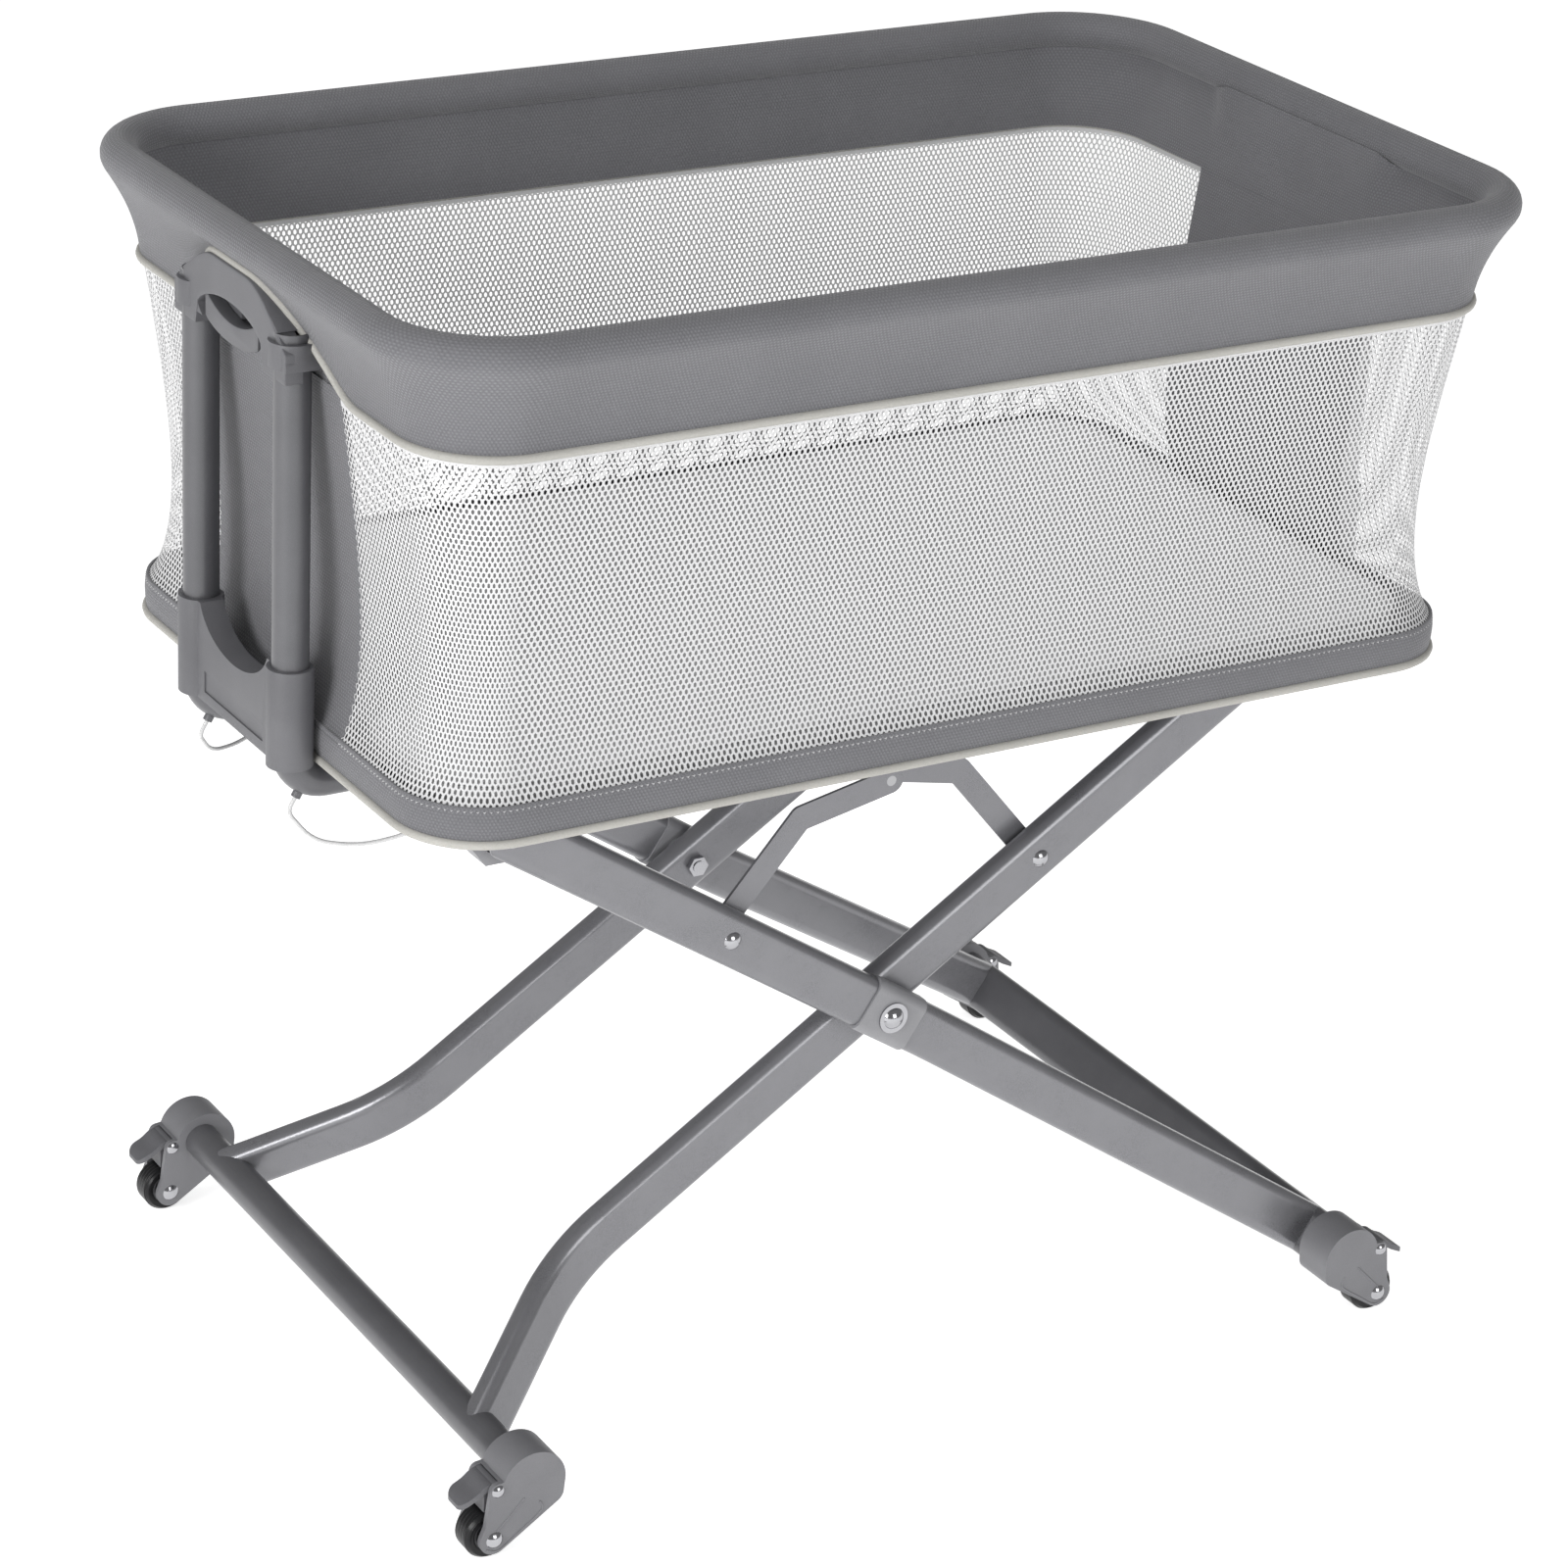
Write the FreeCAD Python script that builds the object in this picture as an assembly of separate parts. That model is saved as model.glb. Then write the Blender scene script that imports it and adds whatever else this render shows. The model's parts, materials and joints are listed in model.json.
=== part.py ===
import FreeCAD, Part
import math
import os
from FreeCAD import Placement, Rotation, Vector

# Bassinet on a folding X stand. Millimetres, +Z up, floor at z = 0, length along X.
# The head end is at -X, the near side at -Y. The outer legs run from the upper left to the
# lower right, the inner legs from the upper right to the lower left.

os.makedirs("parts", exist_ok=True)

# --- basket -------------------------------------------------------------------
rim_half_length = 446.0     # to the centreline of the rim tube
rim_half_width = 277.0
rim_corner = 80.0           # plan radius of the rim's centreline
rim_height = 887.0
rim_tube_radius = 9.0
rim_pad_radius = 14.0       # outside of the padded cover
skirt_drop = 75.0           # rim centreline down to the upper piping
skirt_inset = 14.5          # how far the upper piping lies inside the rim centreline
base_inset = 17.0           # how far the basket's foot lies inside the rim centreline
base_piping_height = 540.5
band_height = 27.0          # lower fabric band above the lower piping
waist_inset = 13.0          # how far the net walls pull in half-way up
cloth = 2.0                 # thickness of net, panels and bands
piping_radius = 2.5
panel_half_width = 112.0    # solid fabric panel at each short end
board_thickness = 8.0
board_clear = 3.0           # board edge inside the fabric band
pad_thickness = 36.0
pad_clear = 14.0            # mattress edge inside the board edge

# --- end frames and rails under the base ---------------------------------------
post_half_spacing = 73.0
post_clear = 2.5            # posts clear of the end panels
post_radius = 13.0
tube_wall = 1.5
rail_bend = 26.0            # centreline radius of the rail's elbows
rail_stub = 14.0            # straight upright end of the rail
rail_drop = 1.0             # rail below the base board
socket_wall = 3.5
socket_depth = 24.0         # post in the fork
fork_foot = 826.0           # underside of the fork's sockets
fork_rise = 46.0            # arch above the sockets' undersides
fork_thick = 24.5
housing_top = 610.0         # top of the lower housing's sockets
housing_bottom = 537.0
web_thick = 18.0
button_width = 101.0
button_height = 37.0
button_gap = 1.5
button_centre = 837.0
button_thick = 10.5
recess_depth = 12.5
finger_sweep = 80.0         # radius of the crescent's concave top

# --- X stand -------------------------------------------------------------------
arm_angle = 33.0            # slope of the legs in use
folded_angle = 6.0          # slope of the legs when folded flat
pivot_height = 288.0
top_pin_height = 496.0
arm_height = 40.0
arm_thick = 20.0
arm_wall = 1.5
arm_edge = 8.0              # rounding of the flat-oval tube
outer_arm_y = 158.0
inner_arm_y = 134.0
outer_splay_start = 32.0    # distance past the pivot where the outer legs turn outwards
outer_splay = 11.5          # degrees
inner_splay_start = 258.0
inner_splay = 32.0
splay_bend = 150.0          # centreline radius of those bends
inner_bar_lift = 6.0        # inner crossbar above its legs' centreline, flush with their tops
inner_bar_radius = 14.0
pin_radius = 5.0
pivot_radius = 5.0
fit = 0.05                  # radial running clearance
gap = 0.4                   # clearance between moving parts

# --- slide blocks and channels ---------------------------------------------------
block_depth = 25.6
block_length = 60.0
block_drop = 28.0           # block below the pin
block_rise = 21.0           # block above the pin
channel_height = 18.0
channel_width = 22.0
channel_wall = 2.0
channel_lip = 3.0
latch_width = 14.0
latch_thick = 5.0
latch_travel = 5.0
latch_shell = 1.5           # wall of the latch's guide box
cable_radius = 1.5
ferrule_radius = 3.5
ferrule_reach = 4.5
cable_exit = 60.0           # degrees below the horizontal where a cable leaves its elbow

# --- links -----------------------------------------------------------------------
link_radius = 168.0         # pivot to link rivet, and rivet to link rod
link_width = 20.0
link_thick = 2.5
link_crank = 28.0           # how far the link's elbow stands off its pin line
rivet_radius = 4.0
link_rod_radius = 4.0

# --- casters -----------------------------------------------------------------------
wheel_radius = 19.0
wheel_width = 21.0
hub_radius = 12.0
axle_radius = 4.0
brake_pin_radius = 2.5
brake_pin_clear = 20.3      # brake pin above the tyre
brake_pin_in = 2.0          # and this far towards the middle
bar_clear = 16.7            # crossbar centre above the tyre
bar_in = 30.3               # and this far towards the middle
housing_inner_y = 260.0
housing_wide = 34.0
housing_side = 4.0          # side walls beside the wheel
lever_tube_radius = 5.5

X = Vector(1, 0, 0)
Y = Vector(0, 1, 0)
Z = Vector(0, 0, 1)
ORIGIN = Vector(0, 0, 0)


# --- helpers -----------------------------------------------------------------------
def box(x0, x1, y0, y1, z0, z1):
    return Part.makeBox(x1 - x0, y1 - y0, z1 - z0, Vector(x0, y0, z0))


def rod(start, end, radius):
    return Part.makeCylinder(radius, (end - start).Length, start, end - start)


def rod_y(x, z, y0, y1, radius):
    return rod(Vector(x, y0, z), Vector(x, y1, z), radius)


def mirror_x(shape):
    return shape.mirror(ORIGIN, X)


def mirror_y(shape):
    return shape.mirror(ORIGIN, Y)


def group(shapes):
    return Part.makeCompound(shapes)


def near_and_far(shape):
    return group([shape, mirror_y(shape)])


def all_four(shape):
    pair = near_and_far(shape)
    return group(pair.Solids + mirror_x(pair).Solids)


def polygon(points):
    return Part.Face(Part.makePolygon(points + points[:1]))


def plate_xz(points, y0, y1):
    """Flat shape given by (x, z) corners, from y0 to y1."""
    face = polygon([Vector(x, y0, z) for x, z in points])
    return face.extrude(Vector(0, y1 - y0, 0))


def ellipse_yz(centre_z, half_y, half_z, x0, x1):
    """Elliptical plate standing across X."""
    curve = Part.Ellipse(ORIGIN, half_y, half_z)
    face = Part.Face(Part.Wire(curve.toShape()))
    face.Placement = Placement(Vector(x0, 0, centre_z), Rotation(Y, Z, X, "ZXY"))
    return face.extrude(Vector(x1 - x0, 0, 0))


def round_hull(circles):
    """Outline round circles (x, z, radius) in the XZ plane, given anticlockwise with x right, z up."""
    count = len(circles)
    tangents = []
    for i in range(count):
        x0, z0, r0 = circles[i]
        x1, z1, r1 = circles[(i + 1) % count]
        span = math.hypot(x1 - x0, z1 - z0)
        along = Vector((x1 - x0) / span, 0, (z1 - z0) / span)
        right = Vector(along.z, 0, -along.x)
        lean = (r0 - r1) / span
        normal = along * lean + right * math.sqrt(1 - lean * lean)
        tangents.append((Vector(x0, 0, z0) + normal * r0, Vector(x1, 0, z1) + normal * r1))
    edges = []
    for i in range(count):
        x, z, radius = circles[i]
        centre = Vector(x, 0, z)
        enter = tangents[i - 1][1]
        leave = tangents[i][0]
        start = math.atan2(enter.z - z, enter.x - x)
        turn = (math.atan2(leave.z - z, leave.x - x) - start) % (2 * math.pi)
        middle = centre + Vector(math.cos(start + turn / 2), 0, math.sin(start + turn / 2)) * radius
        edges.append(Part.Arc(enter, middle, leave).toShape())
        edges.append(Part.LineSegment(leave, tangents[i][1]).toShape())
    return Part.Face(Part.Wire(edges))


def hull_plate(circles, y0, y1):
    face = round_hull(circles)
    face.translate(Vector(0, y0, 0))
    return face.extrude(Vector(0, y1 - y0, 0))


def ring_section(points):
    """Section of a ring: corners as (offset outside the rim centreline, height)."""
    return polygon([Vector(d, 0, z) for d, z in points])


def basket_ring(section):
    """Carries a section round the basket's rounded-rectangle plan."""
    cx = rim_half_length - rim_corner
    cy = rim_half_width - rim_corner
    face = section.copy()
    face.translate(Vector(rim_corner, 0, 0))
    pieces = []
    for quarter, (px, py, run) in enumerate([(cx, cy, 2 * cy), (-cx, cy, 2 * cx),
                                             (-cx, -cy, 2 * cy), (cx, -cy, 2 * cx)]):
        turned = face.copy()
        turned.rotate(ORIGIN, Z, 90 * quarter)
        turned.translate(Vector(px, py, 0))
        back = Rotation(Z, 90 * quarter).multVec(Vector(0, -run, 0))
        pieces.append(turned.extrude(back))
        pieces.append(turned.revolve(Vector(px, py, 0), Z, 90))
    return pieces[0].multiFuse(pieces[1:]).removeSplitter()


def disc_section(d, z, radius):
    circle = Part.makeCircle(radius, Vector(d, 0, z), Y)
    return Part.Face(Part.Wire(circle))


def plan_plate(inset, z0, z1):
    """Rounded-rectangle plate that follows the basket's plan at an inset."""
    half_x = rim_half_length - inset
    half_y = rim_half_width - inset
    plate = box(-half_x, half_x, -half_y, half_y, z0, z1)
    upright = [e for e in plate.Edges if abs(e.Vertexes[0].Z - e.Vertexes[1].Z) > 1e-6]
    return plate.makeFillet(rim_corner - inset, upright)


def flat_oval(height, thick, edge, wall):
    """Hollow flat-oval section standing across +X."""
    def outline(inset):
        core = box(0, 1, -thick / 2 + inset, thick / 2 - inset, -height / 2 + inset, height / 2 - inset)
        long_edges = [e for e in core.Edges if abs(e.Vertexes[0].X - e.Vertexes[1].X) > 0.5]
        rounded = core.makeFillet(edge - inset, long_edges)
        return [f for f in rounded.Faces if abs(f.CenterOfMass.x) < 1e-6][0]
    return outline(0).cut(outline(wall)).Faces[0]


def round_tube(radius, wall):
    outside = Part.Wire(Part.makeCircle(radius, ORIGIN, X))
    inside = Part.Wire(Part.makeCircle(radius - wall, ORIGIN, X))
    return Part.Face(outside).cut(Part.Face(inside)).Faces[0]


def run_section(section, steps):
    """Carries a section from the origin along +X: (length, 0) is straight, (radius, angle) a bend."""
    place = Placement()
    pieces = []
    for size, turn in steps:
        face = section.copy()
        face.Placement = place.multiply(section.Placement)
        if turn == 0:
            ahead = place.Rotation.multVec(Vector(size, 0, 0))
            pieces.append(face.extrude(ahead))
            place = Placement(place.Base + ahead, place.Rotation)
        else:
            centre = place.multVec(Vector(0, math.copysign(size, turn), 0))
            pieces.append(face.revolve(centre, Z, turn))
            place = Placement(ORIGIN, Rotation(Z, turn), centre).multiply(place)
    return pieces[0].multiFuse(pieces[1:]).removeSplitter()


def cable(points, radius):
    """Round cable through a route of points, each corner an arc as large as its runs allow."""
    corners = []
    for before, corner, after in zip(points, points[1:], points[2:]):
        arrive = (corner - before).normalize()
        depart = (after - corner).normalize()
        turn = arrive.getAngle(depart)
        setback = 0.45 * min((corner - before).Length, (after - corner).Length)
        corners.append((corner, arrive, depart, turn, setback))
    pieces = []
    start = points[0]
    for corner, arrive, depart, turn, setback in corners:
        tangent = corner - arrive * setback
        pieces.append(rod(start, tangent, radius))
        axis = arrive.cross(depart).normalize()
        bend = setback / math.tan(turn / 2)
        print("cable bend radius %.1f" % bend)
        centre = tangent + axis.cross(arrive) * bend
        face = Part.Face(Part.Wire(Part.makeCircle(radius, tangent, arrive)))
        pieces.append(face.revolve(centre, axis, math.degrees(turn)))
        start = corner + depart * setback
    pieces.append(rod(start, points[-1], radius))
    return pieces[0].multiFuse(pieces[1:])


def dome(x, z, y, radius, height, outward):
    """Rivet head: a spherical cap standing on the plane y, bulging towards outward * Y."""
    ball_radius = (radius * radius + height * height) / (2 * height)
    centre = Vector(x, y - outward * (ball_radius - height), z)
    ball = Part.makeSphere(ball_radius, centre)
    reach = 2 * ball_radius
    y0, y1 = sorted([y, y + outward * reach])
    return ball.common(box(x - reach, x + reach, y0, y1, z - reach, z + reach))


def stand_place(shape):
    """Local stand frame (x down the leg, z square to it) to its place, for the outer frame."""
    moved = shape.copy()
    moved.rotate(ORIGIN, Y, arm_angle)
    moved.translate(Vector(0, 0, pivot_height))
    return moved


def save(name, shape):
    shape.exportStep("parts/" + name + ".step")
    solids = len(shape.Solids)
    print("%-26s solids %2d  volume %10.0f  valid %s" % (name, solids, shape.Volume, shape.isValid()))


# --- worked-out positions ------------------------------------------------------------
slope = math.radians(arm_angle)
upper_arm = (top_pin_height - pivot_height) / math.sin(slope)
top_pin_x = upper_arm * math.cos(slope)
slide_travel = upper_arm * (math.cos(math.radians(folded_angle)) - math.cos(slope))
bar_rise = wheel_radius + bar_clear              # crossbar centre above the axle
brake_pin_rise = wheel_radius + brake_pin_clear  # brake pin above the axle
bar_height = wheel_radius + bar_rise
lower_arm = (pivot_height - bar_height) / math.sin(slope)
bar_x = lower_arm * math.cos(slope)
axle_x = bar_x + bar_in
base_bottom = base_piping_height - piping_radius - cloth
rail_height = base_bottom - post_radius - rail_drop
skirt_height = rim_height - skirt_drop
board_top = base_bottom + board_thickness
housing_outer_y = housing_inner_y + housing_wide
lower_inset = base_inset + board_clear
end_cloth_x = rim_half_length - skirt_inset     # outside of the end panels at the top
end_flat = end_cloth_x + 0.4                     # flat backs of the forks and lower housings
post_x = end_cloth_x + post_clear + post_radius
socket_radius = post_radius + socket_wall


# --- basket ----------------------------------------------------------------------------
def make_rim_tube():
    return basket_ring(disc_section(0, rim_height, rim_tube_radius))


def fork_pocket(clearance):
    """Room for one fork, at the -X end."""
    half = post_half_spacing + socket_radius + clearance
    arch = box(-post_x - fork_thick, -end_cloth_x + 2 * cloth, -half, half,
               skirt_height - 10, fork_foot + fork_rise + clearance)
    return arch.fuse(fork_boss(clearance))


def fork_boss(clearance):
    """Saddle between the top of the fork's arch and the rim tube."""
    return box(-post_x - 8 - clearance, -post_x + 8 + clearance, -36 - clearance, 36 + clearance,
               fork_foot + fork_rise - 8, rim_height - 5 + clearance)


def make_rim_cover():
    """Padded roll round the rim tube with the skirt that hangs from it to the upper piping."""
    roll = basket_ring(disc_section(0, rim_height, rim_pad_radius))
    foot = skirt_height + piping_radius + 0.3
    skirt = basket_ring(ring_section([
        (rim_pad_radius - 2, rim_height - 4), (2.0, skirt_height + 30), (-skirt_inset + 1.5, foot),
        (-skirt_inset - 1.5, foot), (-2.0, skirt_height + 30), (0, rim_height - 11)]))
    core = basket_ring(disc_section(0, rim_height, rim_tube_radius + fit))
    pocket = fork_pocket(gap)
    return roll.fuse(skirt).cut(core).cut(pocket).cut(mirror_x(pocket))


def make_rim_piping():
    ring = basket_ring(disc_section(-skirt_inset, skirt_height, piping_radius))
    pocket = fork_pocket(gap)
    return ring.cut(pocket).cut(mirror_x(pocket))


def wall_ring():
    top = skirt_height - piping_radius - 0.3
    middle = (skirt_height + base_piping_height) / 2
    foot = base_piping_height + band_height + 0.3
    deep = base_inset + waist_inset
    return basket_ring(ring_section([
        (-skirt_inset, top), (-deep, middle), (-base_inset, foot),
        (-base_inset - cloth, foot), (-deep - cloth, middle), (-skirt_inset - cloth, top)]))


def left_and_right(end):
    return group([end, mirror_x(end)])


def make_walls():
    """Net walls front and back, and the two solid end panels between them."""
    wall = wall_ring()
    reach = rim_half_length + rim_half_width
    low, high = base_piping_height, rim_height
    front = wall.common(box(-reach, reach, -reach, -panel_half_width - 0.1, low, high))
    end = wall.common(box(-reach, 0, -panel_half_width, panel_half_width, low, high))
    half = post_half_spacing + socket_radius
    behind_fork = box(-end_cloth_x, -end_cloth_x + cloth, -half, half, skirt_height - piping_radius - 0.3,
                      rim_height - rim_pad_radius - 0.3)
    end = end.fuse(behind_fork).removeSplitter()
    return front, mirror_y(front), left_and_right(end)


def clear_of_rails(shape):
    """Notches a piece at the basket's foot where the rails' elbows pass it."""
    for rail in near_and_far(make_base_rail(rail_blank())).Solids:
        shape = shape.cut(rail)
    return shape


def make_lower_band():
    foot = base_piping_height + piping_radius + 0.3
    top = base_piping_height + band_height
    band = basket_ring(ring_section([
        (-base_inset, foot), (-base_inset, top), (-base_inset - cloth, top), (-base_inset - cloth, foot)]))
    return clear_of_rails(band)


def make_base_piping():
    return clear_of_rails(basket_ring(disc_section(-base_inset, base_piping_height, piping_radius)))


def make_base_board():
    return clear_of_rails(plan_plate(lower_inset, base_bottom, board_top))


def make_mattress():
    pad = plan_plate(lower_inset + pad_clear, board_top + gap, board_top + gap + pad_thickness)
    rim_edges = [e for f in pad.Faces if abs(f.normalAt(0, 0).z) > 0.9 for e in f.Edges]
    return pad.makeFillet(pad_thickness / 3, rim_edges)


# --- end frames --------------------------------------------------------------------------
def rail_blank():
    """Solid section a little larger than the rail, for clearing other pieces."""
    return Part.Face(Part.Wire(Part.makeCircle(post_radius + fit, ORIGIN, X)))


def make_base_rail(section):
    """One rail under the base with an elbow up into the housing at each end, near side."""
    steps = [(rail_stub, 0), (rail_bend, 90), (2 * (post_x - rail_bend), 0), (rail_bend, 90), (rail_stub, 0)]
    rail = run_section(section, steps)
    rail.rotate(ORIGIN, Z, -90)
    rail.rotate(ORIGIN, X, 90)
    rail.translate(Vector(-post_x, -post_half_spacing, rail_height + rail_bend + rail_stub))
    return rail


def post_axis(y_side):
    return -post_x, y_side * post_half_spacing


def make_post():
    low = rail_height + rail_bend + rail_stub + 1.0
    high = fork_foot + socket_depth
    x, y = post_axis(-1)
    outside = rod(Vector(x, y, low), Vector(x, y, high), post_radius)
    inside = rod(Vector(x, y, low), Vector(x, y, high), post_radius - tube_wall)
    return outside.cut(inside)


def make_fork():
    outer = -post_x - fork_thick / 2
    inner = -end_flat
    half = post_half_spacing + socket_radius
    arch = ellipse_yz(fork_foot, half, fork_rise, outer, inner)
    arch = arch.common(box(outer, inner, -half, half, fork_foot, fork_foot + fork_rise))
    body = arch.fuse(fork_boss(0))
    bores = []
    for side in (-1, 1):
        x, y = post_axis(side)
        foot = Vector(x, y, fork_foot)
        body = body.fuse(rod(foot, foot + Z * (socket_depth - 6), socket_radius))
        bores.append(rod(foot - Z, foot + Z * (socket_depth + gap), post_radius + fit))
    recess = -post_x - fork_thick / 2 + recess_depth
    backing = ellipse_yz(button_centre, button_width / 2 + button_gap,
                         button_height / 2 + button_gap, recess, inner - 4)
    opening = ellipse_yz(button_centre, button_width / 2 + button_gap,
                         button_height / 2 + button_gap, outer - 5, recess)
    slot = box(recess - 1, inner + 1, -7, 7, button_centre - 15, button_centre + 1)
    rim_bore = rod(Vector(-rim_half_length, -60, rim_height), Vector(-rim_half_length, 60, rim_height),
                   rim_tube_radius + fit)
    behind = box(-end_flat, 0, -2 * half, 2 * half, fork_foot - 20, rim_height)
    body = body.fuse(backing).cut(opening).cut(slot).cut(rim_bore).cut(behind)
    for bore in bores:
        body = body.cut(bore)
    return body.removeSplitter()


def make_button():
    """Crescent-shaped release button with a guide tongue through the fork's back."""
    front = -post_x - fork_thick / 2 + 1.5
    back = front + button_thick
    oval = ellipse_yz(button_centre, button_width / 2, button_height / 2, front, back)
    bite = Part.makeCylinder(finger_sweep, 40, Vector(front - 20, 0, button_centre - 4 + finger_sweep), X)
    crescent = oval.cut(bite).common(box(front, back, -42, 42, 0, rim_height))
    tongue = box(back, back + 8, -6, 6, button_centre - 14, button_centre - 5)
    return crescent.fuse(tongue)


def make_end_housing():
    """Lower U housing: two sockets, the curved web between them and its screw bosses."""
    outer = -post_x - web_thick / 2
    web = box(outer, outer + web_thick, -post_half_spacing, post_half_spacing, housing_bottom, housing_top)
    saddle = ellipse_yz(housing_top + 8, post_half_spacing - socket_radius, 34, outer - 1, outer + web_thick + 1)
    body = web.cut(saddle)
    panel = box(outer - 1, outer + 1.2, -48, 48, housing_bottom + 8, housing_bottom + 24)
    body = body.cut(panel)
    for side in (-1, 1):
        x, y = post_axis(side)
        foot = Vector(x, y, housing_bottom)
        body = body.fuse(rod(foot, Vector(x, y, housing_top), socket_radius))
    for side in (-1, 1):
        x, y = post_axis(side)
        body = body.cut(rod(Vector(x, y, housing_bottom - 1), Vector(x, y, housing_top + 1),
                            post_radius + fit))
    behind = box(-end_flat, 0, -2 * post_half_spacing, 2 * post_half_spacing, 0, rim_height)
    return clear_of_rails(body.cut(behind)).removeSplitter()


# --- slide blocks, channels and locks -------------------------------------------------------
def block_span(arm_y):
    """Near and far face of a slide block on the near side, for the arm it carries."""
    outer = -(arm_y - arm_thick / 2) + gap
    return outer, outer + block_depth


def channel_centre(arm_y):
    outer, inner = block_span(arm_y)
    return (outer + inner) / 2


def make_channel(arm_y):
    """Lipped channel under the board for one near block at the -X end."""
    y = channel_centre(arm_y)
    x0 = -top_pin_x - slide_travel - block_length / 2 + 8
    x1 = -top_pin_x + block_length / 2
    half = channel_width / 2
    top = base_bottom
    foot = base_bottom - channel_height
    channel = box(x0, x1, y - half, y + half, foot, top)
    channel = channel.cut(box(x0 - 1, x1 + 1, y - half + channel_wall, y + half - channel_wall,
                              foot + channel_wall, top - channel_wall))
    slot = half - channel_wall - channel_lip
    return channel.cut(box(x0 - 1, x1 + 1, y - slot, y + slot, foot - 1, foot + channel_wall + 1))


def make_block(arm_y):
    """Ribbed slide block, near side, -X end: body, neck and head in the channel."""
    outer, inner = block_span(arm_y)
    y = channel_centre(arm_y)
    x0 = -top_pin_x - block_length / 2
    x1 = -top_pin_x + block_length / 2
    low = top_pin_height - block_drop
    high = min(top_pin_height + block_rise, base_bottom - channel_height - gap)
    body = plate_xz([(x0, low + 24), (x0 + 18, low), (x1 - 8, low), (x1, low + 10), (x1, high), (x0, high)],
                    outer, inner)
    neck_half = channel_width / 2 - channel_wall - channel_lip - gap
    head_half = channel_width / 2 - channel_wall - gap
    channel_foot = base_bottom - channel_height
    neck = box(x0 + 12, x1 - 8, y - neck_half, y + neck_half, high - 1, channel_foot + channel_wall + 1)
    head = box(x0 + 12, x1 - 8, y - head_half, y + head_half,
               channel_foot + channel_wall + gap, base_bottom - channel_wall - gap)
    block = body.fuse(neck).fuse(head)
    cell = 8.0
    wall = 2.0
    for row in range(2):
        for column in range(3):
            px = x0 + 4 + column * (cell + wall)
            pz = low + 26 - row * (cell + wall)
            inside_chamfer = px > x0 + 16 or pz > low + 22
            if inside_chamfer:
                block = block.cut(box(px, px + cell, outer - 1, outer + 6, pz, pz + cell))
    return block.cut(rod_y(-top_pin_x, top_pin_height, outer - 1, inner + 1, pin_radius + fit))


def make_top_pin(arm_y):
    """Headed pin through the leg's top end and its slide block, near side, -X end."""
    face = -(arm_y + arm_thick / 2)
    inner = block_span(arm_y)[1]
    shank = rod_y(-top_pin_x, top_pin_height, face - 0.4, inner - 1.0, pin_radius)
    return shank.fuse(dome(-top_pin_x, top_pin_height, face - 0.4, 8.0, 3.0, -1))


def latch_span(arm_y):
    inner = block_span(arm_y)[1]
    return inner + gap, inner + gap + latch_shell + latch_thick + latch_shell + 2 * 0.3


def make_latch_housing(arm_y):
    """Small guide box under the board for one latch plate, near side, -X end."""
    y0, y1 = latch_span(arm_y)
    half = latch_width / 2 + 2.0
    low = top_pin_height + 4
    shell = box(-top_pin_x - half, -top_pin_x + half, y0, y1, low, base_bottom)
    bore = box(-top_pin_x - latch_width / 2 - 0.3, -top_pin_x + latch_width / 2 + 0.3,
               y0 + latch_shell, y1 - latch_shell, low - 1, base_bottom - 3)
    return shell.cut(bore)


def make_latch(arm_y):
    """Spring-loaded latch plate, near side, -X end; it lifts when the button is squeezed."""
    y0, y1 = latch_span(arm_y)
    low = top_pin_height - 12
    high = base_bottom - 3 - latch_travel - 1.0
    return box(-top_pin_x - latch_width / 2, -top_pin_x + latch_width / 2,
               y0 + latch_shell + 0.3, y1 - latch_shell - 0.3, low, high)


def exit_direction():
    angle = math.radians(cable_exit)
    return Vector(-math.cos(angle), 0, -math.sin(angle))


def ferrule_foot():
    """Point just inside the surface of the elbow where the near cable at the -X end comes out."""
    bend_centre = Vector(-post_x + rail_bend, -post_half_spacing, rail_height + rail_bend)
    return bend_centre + exit_direction() * (rail_bend + post_radius - 0.5)


def make_release_cable(arm_y):
    """Cable from the rail's elbow to the latch guide, near side, -X end."""
    y_end = sum(latch_span(arm_y)) / 2
    tip = ferrule_foot() + exit_direction() * ferrule_reach
    end = Vector(-top_pin_x - latch_width / 2 - 2.0, y_end, top_pin_height + 12)
    run = end.x - tip.x
    sway = end.y - tip.y
    points = [tip, tip + exit_direction() * 12,
              tip + Vector(0.07 * run, 0.25 * sway, -30), tip + Vector(0.32 * run, 0.55 * sway, -34),
              tip + Vector(0.60 * run, 0.85 * sway, -26), end - Vector(0.12 * run, 0, 6), end]
    return cable(points, cable_radius)


def make_cable_ferrule():
    """Ferrule where a release cable leaves the rail's elbow, near side, -X end."""
    foot = ferrule_foot()
    ferrule = rod(foot, foot + exit_direction() * ferrule_reach, ferrule_radius)
    return ferrule.cut(make_base_rail(rail_blank()))


def make_fasteners():
    """Screws: channels to board, rails to board, forks to rim, housings to posts."""
    screws = []
    for arm_y, side in ((outer_arm_y, -1), (inner_arm_y, 1)):
        y = channel_centre(arm_y)
        for x in (-top_pin_x - slide_travel + 4, -top_pin_x + 10):
            low = base_bottom - channel_wall
            screw = rod(Vector(x, y, low), Vector(x, y, low + 7), 2.0)
            screws.append(screw if side < 0 else mirror_x(screw))
    for x in (-220.0, 0.0, 220.0):
        foot = Vector(x, -post_half_spacing, rail_height)
        screws.append(rod(foot, foot + Z * (post_radius + 6), 2.5))
    return near_and_far(group(screws))


# --- stand -----------------------------------------------------------------------------------
def arm_section():
    return flat_oval(arm_height, arm_thick, arm_edge, arm_wall)


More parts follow.
